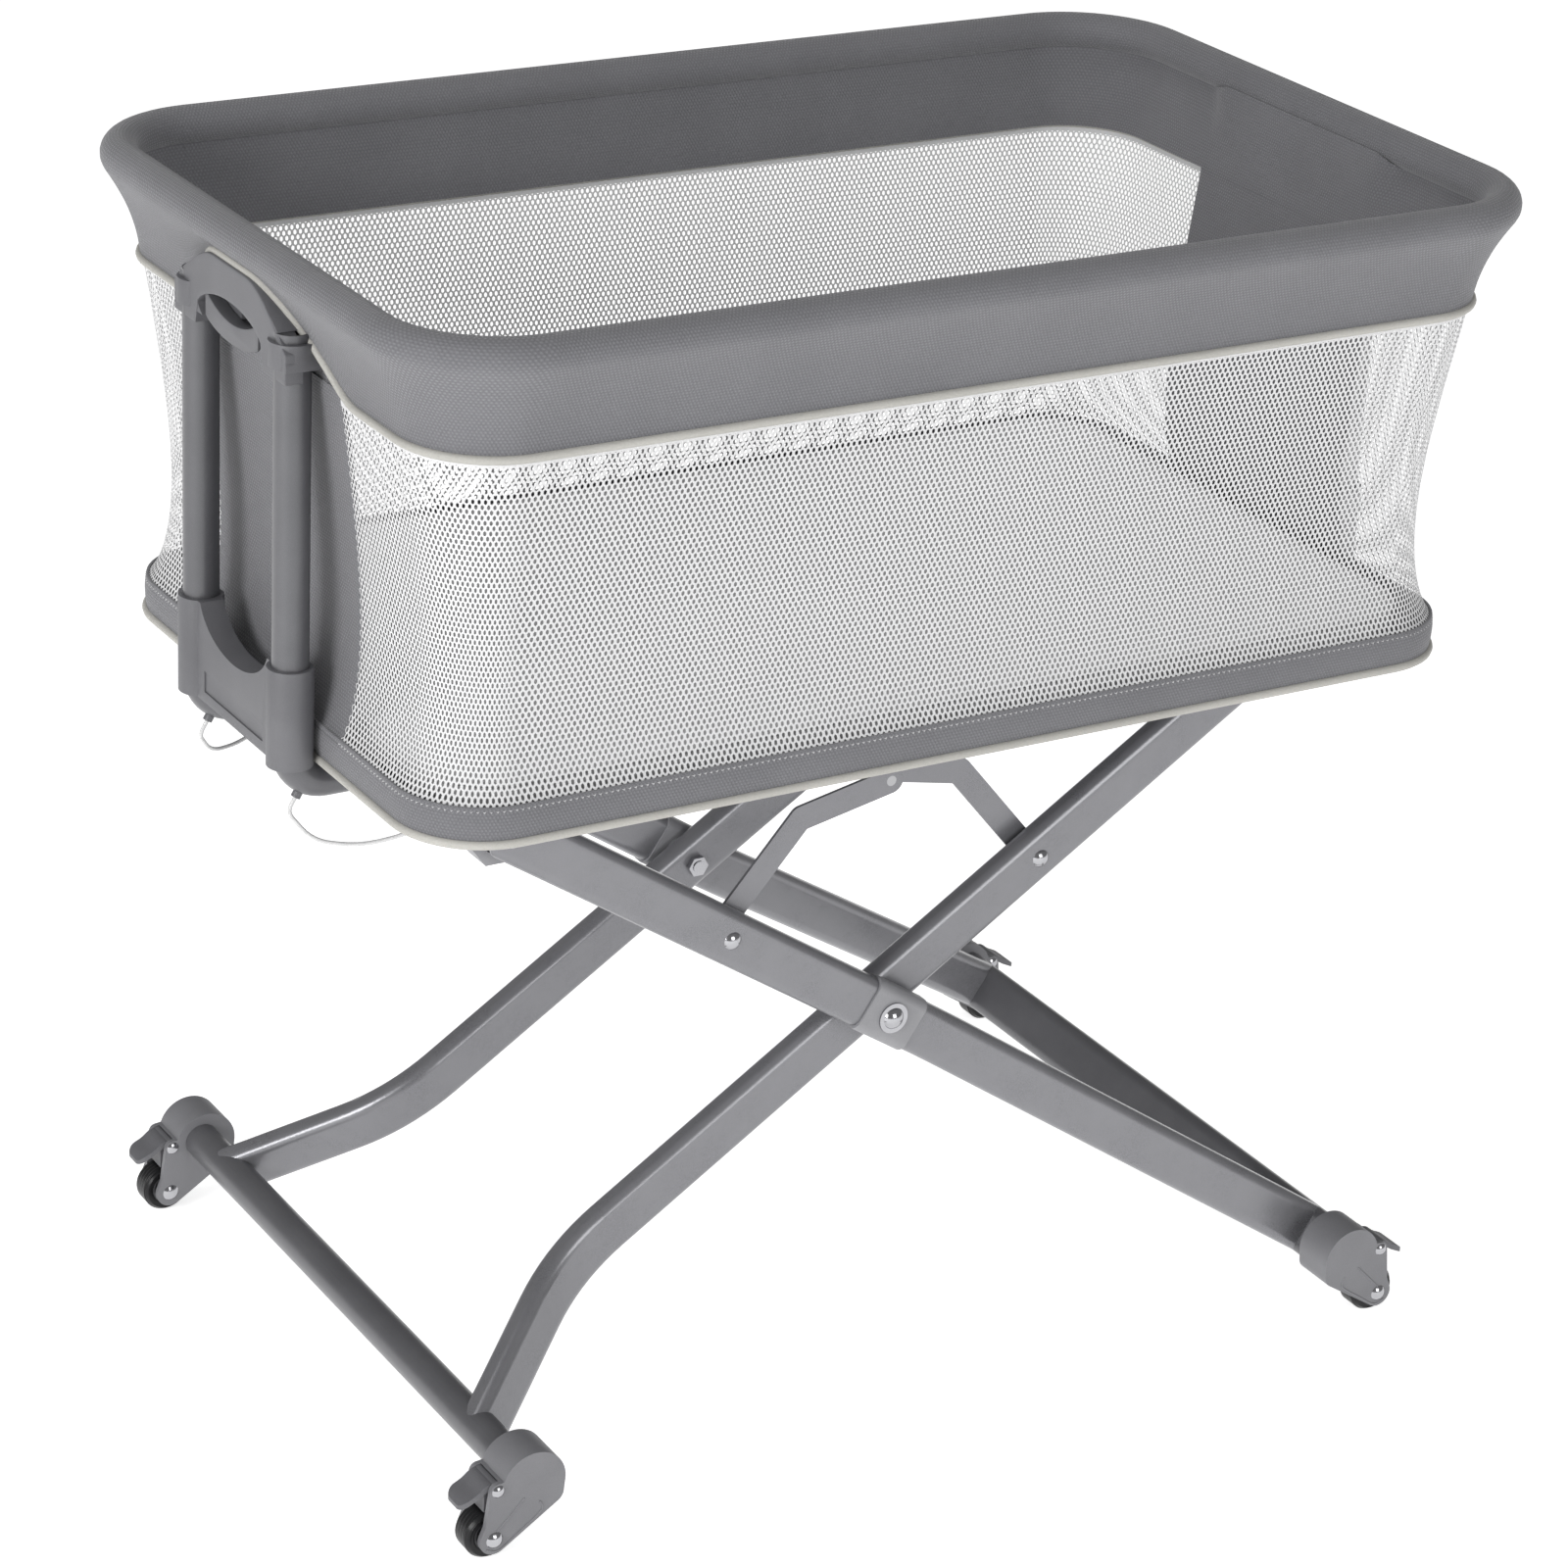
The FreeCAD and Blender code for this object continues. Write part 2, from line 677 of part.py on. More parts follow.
def trim_top(leg):
    """Rounds the open top end about its pin and drills the leg, in the leg's own frame."""
    half = arm_height / 2
    end = box(-upper_arm - 3 * half, -upper_arm, -arm_thick, arm_thick, -2 * half, 2 * half)
    end = end.cut(Part.makeCylinder(half, 2 * arm_thick, Vector(-upper_arm, -arm_thick, 0), Y))
    trimmed = leg.cut(end)
    for x, radius in ((-upper_arm, pin_radius), (0, pivot_radius), (-link_radius, rivet_radius)):
        hole = Part.makeCylinder(radius + fit, 2 * arm_thick, Vector(x, -arm_thick, 0), Y)
        trimmed = trimmed.cut(hole)
    return trimmed


def make_leg(arm_y, splay_start, splay, bar):
    """Near leg in its own frame: rounded top end, straight to the splay bend, coped to its bar."""
    start = -upper_arm - arm_height / 2
    turn = math.radians(splay)
    bend_run = splay_bend * math.sin(turn)
    rest = (lower_arm - splay_start - bend_run) / math.cos(turn)
    steps = [(splay_start - start, 0), (splay_bend, -splay), (rest, 0)]
    leg = run_section(arm_section(), steps)
    leg.translate(Vector(start, 0, 0))
    leg = trim_top(leg)
    leg.translate(Vector(0, -arm_y, 0))
    return leg.cut(bar).Solids[0]


def outer_bar_blank(y_half, wall):
    """Flat-oval bar across the stand at the foot of the outer legs; solid when wall is 0."""
    if wall:
        section = flat_oval(arm_height, arm_thick, arm_edge, wall)
    else:
        core = flat_oval(arm_height, arm_thick, arm_edge, arm_wall)
        section = Part.Face(core.OuterWire)
    bar = section.extrude(Vector(2 * y_half, 0, 0))
    bar.rotate(ORIGIN, Z, 90)
    bar.translate(Vector(lower_arm, -y_half, 0))
    return bar


def inner_bar_blank(y_half, wall):
    ends = Vector(lower_arm, -y_half, inner_bar_lift), Vector(lower_arm, y_half, inner_bar_lift)
    bar = rod(*ends, inner_bar_radius)
    return bar.cut(rod(*ends, inner_bar_radius - wall)) if wall else bar


def make_sleeve():
    """Moulded sleeve round the outer leg at the pivot, in the leg's own frame, near side."""
    outside = box(-25, 25, -arm_thick / 2 - 1.6, arm_thick / 2 + 1.2, -arm_height / 2 - 1.6,
                  arm_height / 2 + 1.6)
    long_edges = [e for e in outside.Edges if abs(e.Vertexes[0].X - e.Vertexes[1].X) > 1]
    outside = outside.makeFillet(arm_edge, long_edges)
    core = box(-26, 26, -arm_thick / 2, arm_thick / 2, -arm_height / 2, arm_height / 2)
    core_edges = [e for e in core.Edges if abs(e.Vertexes[0].X - e.Vertexes[1].X) > 1]
    core = core.makeFillet(arm_edge, core_edges)
    sleeve = outside.cut(core)
    sleeve = sleeve.cut(rod(Vector(0, -40, 0), Vector(0, 40, 0), pivot_radius + fit))
    spacer_y = arm_thick / 2 + 1.2
    end_y = outer_arm_y - inner_arm_y - arm_thick / 2 - gap
    spacer = rod(Vector(0, spacer_y, 0), Vector(0, end_y, 0), 15.0)
    spacer = spacer.cut(rod(Vector(0, 0, 0), Vector(0, 40, 0), pivot_radius + fit))
    sleeve = sleeve.fuse(spacer)
    sleeve.translate(Vector(0, -outer_arm_y, 0))
    return sleeve


def make_pivot_bolt():
    """Dome-headed bolt with washer outside and nut inside, near side."""
    head_y = -outer_arm_y - arm_thick / 2 - 1.6
    nut_y = -inner_arm_y + arm_thick / 2 + gap
    washer = rod_y(0, 0, head_y - 1.5, head_y, 12.0)
    shank = rod_y(0, 0, head_y - 1.5, nut_y + 6, pivot_radius)
    head = dome(0, 0, head_y - 1.5, 8.5, 5.0, -1)
    return shank.fuse(washer).fuse(head)


def make_pivot_nut():
    nut_y = -inner_arm_y + arm_thick / 2 + gap
    corners = [Vector(8.7 * math.cos(math.radians(a)), nut_y, 8.7 * math.sin(math.radians(a)))
               for a in range(0, 360, 60)]
    nut = polygon(corners).extrude(Vector(0, 5, 0))
    return nut.cut(rod_y(0, 0, nut_y - 1, nut_y + 8, pivot_radius))


def make_link_rivet(arm_y, link_inner):
    """Rivet through a leg and its link, in the leg's own frame, near side."""
    face = -(arm_y + arm_thick / 2)
    shank = rod_y(-link_radius, 0, face, link_inner + 0.3, rivet_radius)
    outer_head = dome(-link_radius, 0, face, 7.0, 3.5, -1)
    inner_head = rod_y(-link_radius, 0, link_inner + 0.3, link_inner + 2.0, 7.0)
    return shank.fuse(outer_head).fuse(inner_head)


def make_link(arm_y, hole_radius, side):
    """Cranked flat link from a leg's rivet up to the link rod, near side, left-hand pair."""
    outer = -(arm_y - arm_thick / 2) + gap
    foot_x = -link_radius * math.cos(slope)
    foot_z = pivot_height + link_radius * math.sin(slope)
    rod_z = pivot_height + 2 * link_radius * math.sin(slope)
    elbow = 0.57 * link_radius
    elbow_x = foot_x + elbow * math.cos(slope) - link_crank * math.sin(slope)
    elbow_z = foot_z + elbow * math.sin(slope) + link_crank * math.cos(slope)
    half = link_width / 2
    lower = hull_plate([(foot_x, foot_z, half), (elbow_x, elbow_z, half)], outer, outer + link_thick)
    upper = hull_plate([(elbow_x, elbow_z, half), (0, rod_z, half)], outer, outer + link_thick)
    link = lower.fuse(upper).removeSplitter()
    link = link.cut(rod_y(foot_x, foot_z, outer - 1, outer + 5, rivet_radius + fit))
    link = link.cut(rod_y(0, rod_z, outer - 1, outer + 5, hole_radius))
    return link if side < 0 else mirror_x(link)


def make_link_rod():
    rod_z = pivot_height + 2 * link_radius * math.sin(slope)
    end_y = outer_arm_y - arm_thick / 2 - gap
    shaft = rod_y(0, rod_z, -end_y, end_y, link_rod_radius)
    collar_y = end_y - link_thick - 0.3
    for y0, y1 in ((-collar_y, -collar_y + 3), (collar_y - 3, collar_y)):
        shaft = shaft.fuse(rod_y(0, rod_z, y0, y1, 7.0))
    return shaft


# --- casters ------------------------------------------------------------------------------------
# Modelled on the near side at the +X end, with the axle as origin; u is towards the middle (-x).
def make_caster_housing(bar):
    y0, y1 = -housing_outer_y, -housing_inner_y
    body = hull_plate([(-bar_in, bar_rise + 2.3, 25.0), (-bar_in - 14, bar_rise - 8.7, 10.0), (0, 0, 11.5)],
                      y0, y1)
    ear = hull_plate([(-bar_in, bar_rise + 2.3, 10.0), (0, 0, 9.0),
                      (-brake_pin_in, brake_pin_rise, lever_tube_radius + 0.5)], y0, y1)
    shell = body.fuse(ear)
    slot0, slot1 = y0 + housing_side, y1 - housing_side
    shell = shell.cut(rod_y(0, 0, slot0, slot1, wheel_radius + 2.5))
    shell = shell.cut(rod_y(-brake_pin_in, brake_pin_rise, slot0, slot1, lever_tube_radius + 0.8))
    shell = shell.cut(box(-brake_pin_in - 9, 30, slot0, slot1, 0, brake_pin_rise))
    shell = shell.cut(box(0, 30, slot0, slot1, -30, 30))
    shell = shell.cut(rod_y(0, 0, y0 - 1, y1 + 1, axle_radius))
    shell = shell.cut(rod_y(-brake_pin_in, brake_pin_rise, y0 - 1, y1 + 1, brake_pin_radius))
    return shell.cut(bar)


def make_caster_rivets():
    """Axle and brake pin with domed heads."""
    pieces = []
    for x, z, radius, head in ((0, 0, axle_radius, 6.5), (-brake_pin_in, brake_pin_rise, brake_pin_radius, 5.0)):
        shank = rod_y(x, z, -housing_outer_y, -housing_inner_y, radius)
        outer = dome(x, z, -housing_outer_y, head, 0.5 * head, -1)
        inner = dome(x, z, -housing_inner_y, head, 0.4 * head, 1)
        pieces.append(shank.fuse(outer).fuse(inner))
    return group(pieces)


def wheel_middle():
    return -(housing_inner_y + housing_outer_y) / 2


def turned_y(points):
    """Solid turned about the wheel's axle; points are (radius, width from the middle)."""
    face = polygon([Vector(r, wheel_middle() + w, 0) for r, w in points])
    return face.revolve(ORIGIN, Y, 360)


def make_tyre():
    half = wheel_width / 2
    crown = 2.5
    return turned_y([(hub_radius, -half + 1), (wheel_radius - crown, -half), (wheel_radius, -half + crown + 1),
                     (wheel_radius, half - crown - 1), (wheel_radius - crown, half), (hub_radius, half - 1)])


def make_hub():
    half = wheel_width / 2
    bore = axle_radius + fit
    boss = bore + 2.5
    return turned_y([(bore, -half), (boss, -half), (boss, -3), (hub_radius - 2.5, -3), (hub_radius - 1.5, -half + 1.5),
                     (hub_radius, -half + 1.5), (hub_radius, half - 1.5), (hub_radius - 1.5, half - 1.5),
                     (hub_radius - 2.5, 3), (boss, 3), (boss, half), (bore, half)])


def make_brake_lever():
    """Pivot tube, wavy pedal with rounded corners, and brake shoe."""
    y0 = -housing_outer_y + housing_side + gap
    y1 = -housing_inner_y - housing_side - gap
    px, pz = -brake_pin_in, brake_pin_rise
    tube = rod_y(px, pz, y0, y1, lever_tube_radius)
    upper = [(0, 4.0), (8, 3.5), (14, -1.0), (20, -4.0), (27, -9.5)]
    lower = [(27, -12.5), (19, -8.0), (13, -5.0), (7, -1.5), (0, -2.0)]
    sides = []
    for outline in (upper, lower):
        curve = Part.BSplineCurve()
        curve.interpolate([Vector(px + u, y0, pz + w) for u, w in outline])
        sides.append(curve.toShape())
    tip = Part.makeLine(sides[0].Vertexes[-1].Point, sides[1].Vertexes[0].Point)
    root = Part.makeLine(sides[1].Vertexes[-1].Point, sides[0].Vertexes[0].Point)
    pedal = Part.Face(Part.Wire([sides[0], tip, sides[1], root])).extrude(Vector(0, y1 - y0, 0))
    plan = box(px, px + 27, y0, y1, pz - 20, pz + 10)
    tip_edges = [e for e in plan.Edges
                 if all(abs(v.X - px - 27) < 1e-6 for v in e.Vertexes) and abs(e.tangentAt(0).z) > 0.9]
    pedal = pedal.common(plan.makeFillet(7.0, tip_edges))
    shoe = box(px - 2, px + 8, y0 + 2, y1 - 2, wheel_radius + 1.9, pz)
    lever = tube.fuse(pedal).fuse(shoe)
    return lever.cut(rod_y(px, pz, y0 - 1, y1 + 1, brake_pin_radius + fit)).removeSplitter()


def at_right(shape):
    moved = shape.copy()
    moved.translate(Vector(axle_x, 0, wheel_radius))
    return moved


# --- build every node ---------------------------------------------------------------------------
save("rim_tube", make_rim_tube())
save("rim_cover", make_rim_cover())
save("rim_piping", make_rim_piping())
net_front, net_back, end_panels = make_walls()
save("net_front", net_front)
save("net_back", net_back)
save("end_panels", end_panels)
save("lower_band", make_lower_band())
save("base_piping", make_base_piping())
save("base_board", make_base_board())
save("mattress", make_mattress())

save("base_rails", near_and_far(make_base_rail(round_tube(post_radius, tube_wall))))
save("post_tubes", all_four(make_post()))
fork = make_fork()
save("post_fork_left", fork)
save("post_fork_right", mirror_x(fork))
button = make_button()
save("button_left", button)
save("button_right", mirror_x(button))
end_housing = make_end_housing()
save("end_housing_left", end_housing)
save("end_housing_right", mirror_x(end_housing))

channels = near_and_far(make_channel(outer_arm_y)).Solids
channels += mirror_x(near_and_far(make_channel(inner_arm_y))).Solids
save("slide_channels", group(channels))
save("outer_slide_blocks", near_and_far(make_block(outer_arm_y)))
save("inner_slide_blocks", mirror_x(near_and_far(make_block(inner_arm_y))))
save("outer_top_pins", near_and_far(make_top_pin(outer_arm_y)))
save("inner_top_pins", mirror_x(near_and_far(make_top_pin(inner_arm_y))))
guides = near_and_far(make_latch_housing(outer_arm_y)).Solids
guides += mirror_x(near_and_far(make_latch_housing(inner_arm_y))).Solids
save("latch_guides", group(guides))
save("latches_left", near_and_far(make_latch(outer_arm_y)))
save("latches_right", mirror_x(near_and_far(make_latch(inner_arm_y))))
cables = near_and_far(make_release_cable(outer_arm_y)).Solids
cables += mirror_x(near_and_far(make_release_cable(inner_arm_y))).Solids
save("release_cables", group(cables))
save("cable_ferrules", all_four(make_cable_ferrule()))
save("screws", make_fasteners())

outer_bar_cut = outer_bar_blank(housing_outer_y, 0)
inner_bar_cut = inner_bar_blank(housing_outer_y, 0)
outer_leg = stand_place(make_leg(outer_arm_y, outer_splay_start, outer_splay, outer_bar_cut))
inner_leg = mirror_x(stand_place(make_leg(inner_arm_y, inner_splay_start, inner_splay, inner_bar_cut)))
save("outer_leg_near", outer_leg)
save("outer_leg_far", mirror_y(outer_leg))
save("inner_leg_near", inner_leg)
save("inner_leg_far", mirror_y(inner_leg))
bar_half = housing_outer_y - housing_side - 2.0
save("outer_crossbar", stand_place(outer_bar_blank(bar_half, arm_wall)))
save("inner_crossbar", mirror_x(stand_place(inner_bar_blank(bar_half, arm_wall))))
save("pivot_sleeves", near_and_far(stand_place(make_sleeve())))
bolt = make_pivot_bolt().fuse(make_pivot_nut())
bolt.translate(Vector(0, 0, pivot_height))
save("pivot_bolts", near_and_far(bolt))

outer_link_inner = -(outer_arm_y - arm_thick / 2) + gap + link_thick
inner_link_inner = -(inner_arm_y - arm_thick / 2) + gap + link_thick
save("outer_link_rivets", near_and_far(stand_place(make_link_rivet(outer_arm_y, outer_link_inner))))
save("inner_link_rivets",
     mirror_x(near_and_far(stand_place(make_link_rivet(inner_arm_y, inner_link_inner)))))
save("outer_links", near_and_far(make_link(outer_arm_y, link_rod_radius, -1)))
save("inner_links", near_and_far(make_link(inner_arm_y, link_rod_radius + gap, 1)))
save("link_rod", make_link_rod())

bar_bore_right = stand_place(outer_bar_blank(bar_half + gap, 0))
bar_bore_right.translate(Vector(-axle_x, 0, -wheel_radius))
bar_bore_left = stand_place(inner_bar_blank(bar_half + gap, 0))
bar_bore_left.translate(Vector(-axle_x, 0, -wheel_radius))
housing_right = at_right(make_caster_housing(bar_bore_right))
housing_left = mirror_x(at_right(make_caster_housing(bar_bore_left)))
save("caster_housing_right_near", housing_right)
save("caster_housing_right_far", mirror_y(housing_right))
save("caster_housing_left_near", housing_left)
save("caster_housing_left_far", mirror_y(housing_left))
rivets = near_and_far(at_right(make_caster_rivets()))
save("caster_rivets_right", rivets)
save("caster_rivets_left", mirror_x(rivets))
for piece, shape in (("tyre", make_tyre()), ("hub", make_hub()), ("brake_lever", make_brake_lever())):
    placed = at_right(shape)
    save(piece + "_right_near", placed)
    save(piece + "_right_far", mirror_y(placed))
    save(piece + "_left_near", mirror_x(placed))
    save(piece + "_left_far", mirror_x(mirror_y(placed)))
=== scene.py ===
import json
import math

import bpy
import numpy as np
from mathutils import Matrix, Vector


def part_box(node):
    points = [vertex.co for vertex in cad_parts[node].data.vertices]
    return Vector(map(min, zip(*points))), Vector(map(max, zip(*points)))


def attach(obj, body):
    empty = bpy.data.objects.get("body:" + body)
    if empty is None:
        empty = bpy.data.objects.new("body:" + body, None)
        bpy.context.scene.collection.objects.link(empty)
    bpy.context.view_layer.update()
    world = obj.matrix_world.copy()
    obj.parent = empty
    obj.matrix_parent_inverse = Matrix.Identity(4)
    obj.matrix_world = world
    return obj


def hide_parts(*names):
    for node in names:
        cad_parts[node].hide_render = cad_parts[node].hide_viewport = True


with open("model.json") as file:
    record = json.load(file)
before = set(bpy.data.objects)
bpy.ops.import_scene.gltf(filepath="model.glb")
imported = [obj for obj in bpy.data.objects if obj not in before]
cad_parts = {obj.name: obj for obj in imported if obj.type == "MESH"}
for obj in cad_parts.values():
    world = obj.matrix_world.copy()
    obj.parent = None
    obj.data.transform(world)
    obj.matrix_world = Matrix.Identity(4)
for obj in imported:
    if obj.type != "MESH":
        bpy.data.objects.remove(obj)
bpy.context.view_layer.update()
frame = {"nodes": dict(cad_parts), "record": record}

# ---- the basket's plan and heights, read from the frame ----

rimLow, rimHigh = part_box("rim_tube")
bandLow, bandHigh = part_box("lower_band")
pipingLow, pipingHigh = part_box("rim_piping")
footPipingLow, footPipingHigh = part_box("base_piping")
panelLow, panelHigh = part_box("end_panels")
padLow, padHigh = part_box("mattress")

rimTubeRadius = (rimHigh.z - rimLow.z) / 2
halfLength = rimHigh.x - rimTubeRadius
halfWidth = rimHigh.y - rimTubeRadius
rimHeight = rimHigh.z - rimTubeRadius
skirtFoot = (pipingHigh.z + pipingLow.z) / 2
pipingRadius = (pipingHigh.z - pipingLow.z) / 2 + 0.0007
footPipingHeight = (footPipingHigh.z + footPipingLow.z) / 2
footOffset = bandHigh.x - halfLength
skirtOffset = pipingHigh.x - pipingRadius - halfLength
panelHalfWidth = panelHigh.y

plan = {
    "corner": 0.080,            # radius of the rim's centreline
    "straightSteps": 26,
    "endSteps": 40,
    "cornerSteps": 14,
}
straightX = halfLength - plan["corner"]
straightY = halfWidth - plan["corner"]


# ---- small helpers ----

def deselectAll():
    bpy.ops.object.select_all(action="DESELECT")


def makeActive(piece):
    deselectAll()
    piece.select_set(True)
    bpy.context.view_layer.objects.active = piece


def editMode():
    bpy.ops.object.mode_set(mode="EDIT")


def objectMode():
    bpy.ops.object.mode_set(mode="OBJECT")


def applyModifier(piece, kind, **settings):
    makeActive(piece)
    modifier = piece.modifiers.new(kind.title(), kind)
    for key, value in settings.items():
        setattr(modifier, key, value)
    bpy.ops.object.modifier_apply(modifier=modifier.name)


def settle(piece):
    # the piece's place goes into its mesh
    makeActive(piece)
    bpy.ops.object.transform_apply(location=True, rotation=True, scale=True)


def smooth(piece, degrees=40):
    makeActive(piece)
    bpy.ops.object.shade_smooth_by_angle(angle=math.radians(degrees))


def outwards(piece):
    makeActive(piece)
    editMode()
    bpy.ops.mesh.select_all(action="SELECT")
    bpy.ops.mesh.remove_doubles(threshold=0.00001)
    bpy.ops.mesh.normals_make_consistent(inside=False)
    objectMode()


def dress(piece, material, body):
    piece.data.materials.clear()
    piece.data.materials.append(material)
    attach(piece, body)


def coordinates(piece):
    values = np.empty(len(piece.data.vertices) * 3)
    piece.data.vertices.foreach_get("co", values)
    return values.reshape(-1, 3)


def moveVertices(piece, places):
    piece.data.vertices.foreach_set("co", places.astype(np.float32).ravel())
    piece.data.update()


def toOtherSide(piece, axis):
    places = coordinates(piece)
    places[:, axis] *= -1
    moveVertices(piece, places)


def flipFaces(piece):
    makeActive(piece)
    editMode()
    bpy.ops.mesh.select_all(action="SELECT")
    bpy.ops.mesh.flip_normals()
    objectMode()


# ---- node materials ----

class Wire:
    # an output that adds up like a number
    def __init__(self, finish, output):
        self.finish = finish
        self.output = output

    def maths(self, operation, *others):
        return self.finish.add("ShaderNodeMath", {"operation": operation}, [self, *others])

    def __add__(self, other):
        return self.maths("ADD", other)

    def __sub__(self, other):
        return self.maths("SUBTRACT", other)

    def __mul__(self, other):
        return self.maths("MULTIPLY", other)

    def __truediv__(self, other):
        return self.maths("DIVIDE", other)

    def __rsub__(self, other):
        return self.finish.add("ShaderNodeMath", {"operation": "SUBTRACT"}, [other, self])

    __radd__ = __add__
    __rmul__ = __mul__

    def clamped(self, low, high):
        settings = {"interpolation_type": "SMOOTHSTEP"}
        return self.finish.add("ShaderNodeMapRange", settings, [self, low, high])


class Finish:
    # one material: a shader, and nodes added to it
    def __init__(self, name, **sockets):
        self.material = bpy.data.materials.new(name)
        self.material.use_nodes = True
        self.tree = self.material.node_tree
        self.tree.nodes.clear()
        self.shader = self.tree.nodes.new("ShaderNodeBsdfPrincipled")
        surface = self.tree.nodes.new("ShaderNodeOutputMaterial").inputs["Surface"]
        self.tree.links.new(self.shader.outputs[0], surface)
        for key, value in sockets.items():
            self.shader.inputs[key].default_value = value

    def add(self, kind, settings=None, inputs=(), output=0):
        node = self.tree.nodes.new(kind)
        for key, value in (settings or {}).items():
            setattr(node, key, value)
        pairs = inputs.items() if isinstance(inputs, dict) else enumerate(inputs)
        for key, value in pairs:
            self.plug(node.inputs[key], value)
        return Wire(self, node.outputs[output])

    def plug(self, socket, value):
        if isinstance(value, Wire):
            self.tree.links.new(value.output, socket)
        else:
            socket.default_value = value

    def feed(self, name, value):
        self.plug(self.shader.inputs[name], value)

    def place(self):
        return self.add("ShaderNodeTexCoord", output="Object")

    def cloth(self):
        return self.add("ShaderNodeUVMap", {"uv_map": "cloth"})

    def noise(self, where, scale, detail=3.0):
        inputs = {"Vector": where, "Scale": scale, "Detail": detail, "Roughness": 0.55}
        return self.add("ShaderNodeTexNoise", {}, inputs)

    def shades(self, factor, dark, light):
        # sockets 0, 6, 7 and 2 are a colour mix's factor, its two colours and its result
        inputs = {0: factor, 6: (*dark, 1.0), 7: (*light, 1.0)}
        return self.add("ShaderNodeMix", {"data_type": "RGBA"}, inputs, 2)

    def relief(self, height, distance, strength=1.0):
        inputs = {"Height": height, "Distance": distance, "Strength": strength}
        self.feed("Normal", self.add("ShaderNodeBump", {}, inputs))

    def honeycomb(self, pitch):
        # bumps in staggered rows, from -1.5 between them to 3 on top
        spread = self.add("ShaderNodeSeparateXYZ", {}, [self.cloth()], "X")
        rise = Wire(self, spread.output.node.outputs["Y"])
        lean = math.cos(math.pi / 6)
        turn = 2 * math.pi / (pitch * lean)
        first = (rise * turn).maths("COSINE")
        second = (spread * (turn * lean) + rise * (turn / 2)).maths("COSINE")
        third = (spread * (turn * lean) - rise * (turn / 2)).maths("COSINE")
        return first + second + third


def wovenGrey(name, dark, light, pitch=0.0027):
    finish = Finish(name, Roughness=0.82)
    finish.shader.inputs["Sheen Weight"].default_value = 0.25
    finish.shader.inputs["Sheen Roughness"].default_value = 0.5
    weave = finish.honeycomb(pitch)
    cloud = finish.noise(finish.place(), 14.0, 4.0)
    fuzz = finish.noise(finish.place(), 900.0, 2.0)
    tone = (weave / 9.0 + 0.42 + (cloud - 0.5) * 0.35 + (fuzz - 0.5) * 0.5).clamped(0.0, 1.0)
    finish.feed("Base Color", finish.shades(tone, dark, light))
    finish.feed("Roughness", 0.86 - weave * 0.03)
    finish.relief(weave * 0.25 + fuzz * 0.6, 0.00035)
    return finish.material


def netYarn():
    finish = Finish("netYarn", Roughness=0.62)
    finish.shader.inputs["Sheen Weight"].default_value = 0.2
    twist = finish.noise(finish.place(), 1600.0, 2.0)
    finish.feed("Base Color", finish.shades(twist, (0.56, 0.56, 0.565), (0.68, 0.68, 0.685)))
    finish.relief(twist, 0.0002)
    return finish.material


def tape():
    finish = Finish("pipingTape", Roughness=0.6)
    where = finish.place()
    slub = finish.noise(where, 700.0, 3.0)
    soil = finish.noise(where, 9.0, 2.0)
    tone = (slub * 0.5 + soil * 0.5).clamped(0.25, 0.75)
    finish.feed("Base Color", finish.shades(tone, (0.355, 0.348, 0.322), (0.45, 0.44, 0.41)))
    finish.relief(slub, 0.0003)
    return finish.material


def padCover():
    finish = Finish("padCover", Roughness=0.85)
    finish.shader.inputs["Sheen Weight"].default_value = 0.3
    where = finish.place()
    knit = finish.add("ShaderNodeTexVoronoi", {"feature": "F1"}, {"Vector": where, "Scale": 420.0})
    cloud = finish.noise(where, 11.0, 3.0)
    tone = (knit * 0.4 + cloud * 0.6).clamped(0.2, 0.8)
    finish.feed("Base Color", finish.shades(tone, (0.47, 0.47, 0.475), (0.55, 0.55, 0.555)))
    finish.relief(knit, 0.0004, 0.7)
    return finish.material


def moulded(name, dark, light, roughness=0.48, grain=1400.0):
    finish = Finish(name)
    where = finish.place()
    fine = finish.noise(where, grain, 2.0)
    cloud = finish.noise(where, 18.0, 3.0)
    tone = (fine * 0.35 + cloud * 0.65).clamped(0.3, 0.7)
    finish.feed("Base Color", finish.shades(tone, dark, light))
    finish.feed("Roughness", cloud * 0.12 + fine * 0.1 + (roughness - 0.1))
    finish.relief(fine, 0.00012)
    return finish.material


def lacquer(name, dark, light, metallic, roughness):
    finish = Finish(name, Metallic=metallic)
    finish.shader.inputs["Coat Weight"].default_value = 0.25
    finish.shader.inputs["Coat Roughness"].default_value = 0.2
    where = finish.place()
    flake = finish.add("ShaderNodeTexVoronoi", {"feature": "F1"}, {"Vector": where, "Scale": 2600.0})
    orange = finish.noise(where, 260.0, 2.0)
    rub = finish.noise(where, 26.0, 5.0)
    tone = (flake * 0.45 + rub * 0.55).clamped(0.2, 0.8)
    finish.feed("Base Color", finish.shades(tone, dark, light))
    finish.feed("Roughness", (rub - 0.5) * 0.16 + flake * 0.08 + (roughness - 0.04))
    finish.relief(orange, 0.00006)
    return finish.material


def plated(name, tint, roughness):
    finish = Finish(name, Metallic=1.0)
    where = finish.place()
    haze = finish.noise(where, 160.0, 4.0)
    line = finish.noise(where, 2400.0, 1.0)
    finish.feed("Base Color", finish.shades(haze, [c * 0.86 for c in tint], tint))
    finish.feed("Roughness", haze * 0.12 + line * 0.05 + roughness)
    finish.relief(line, 0.00002)
    return finish.material


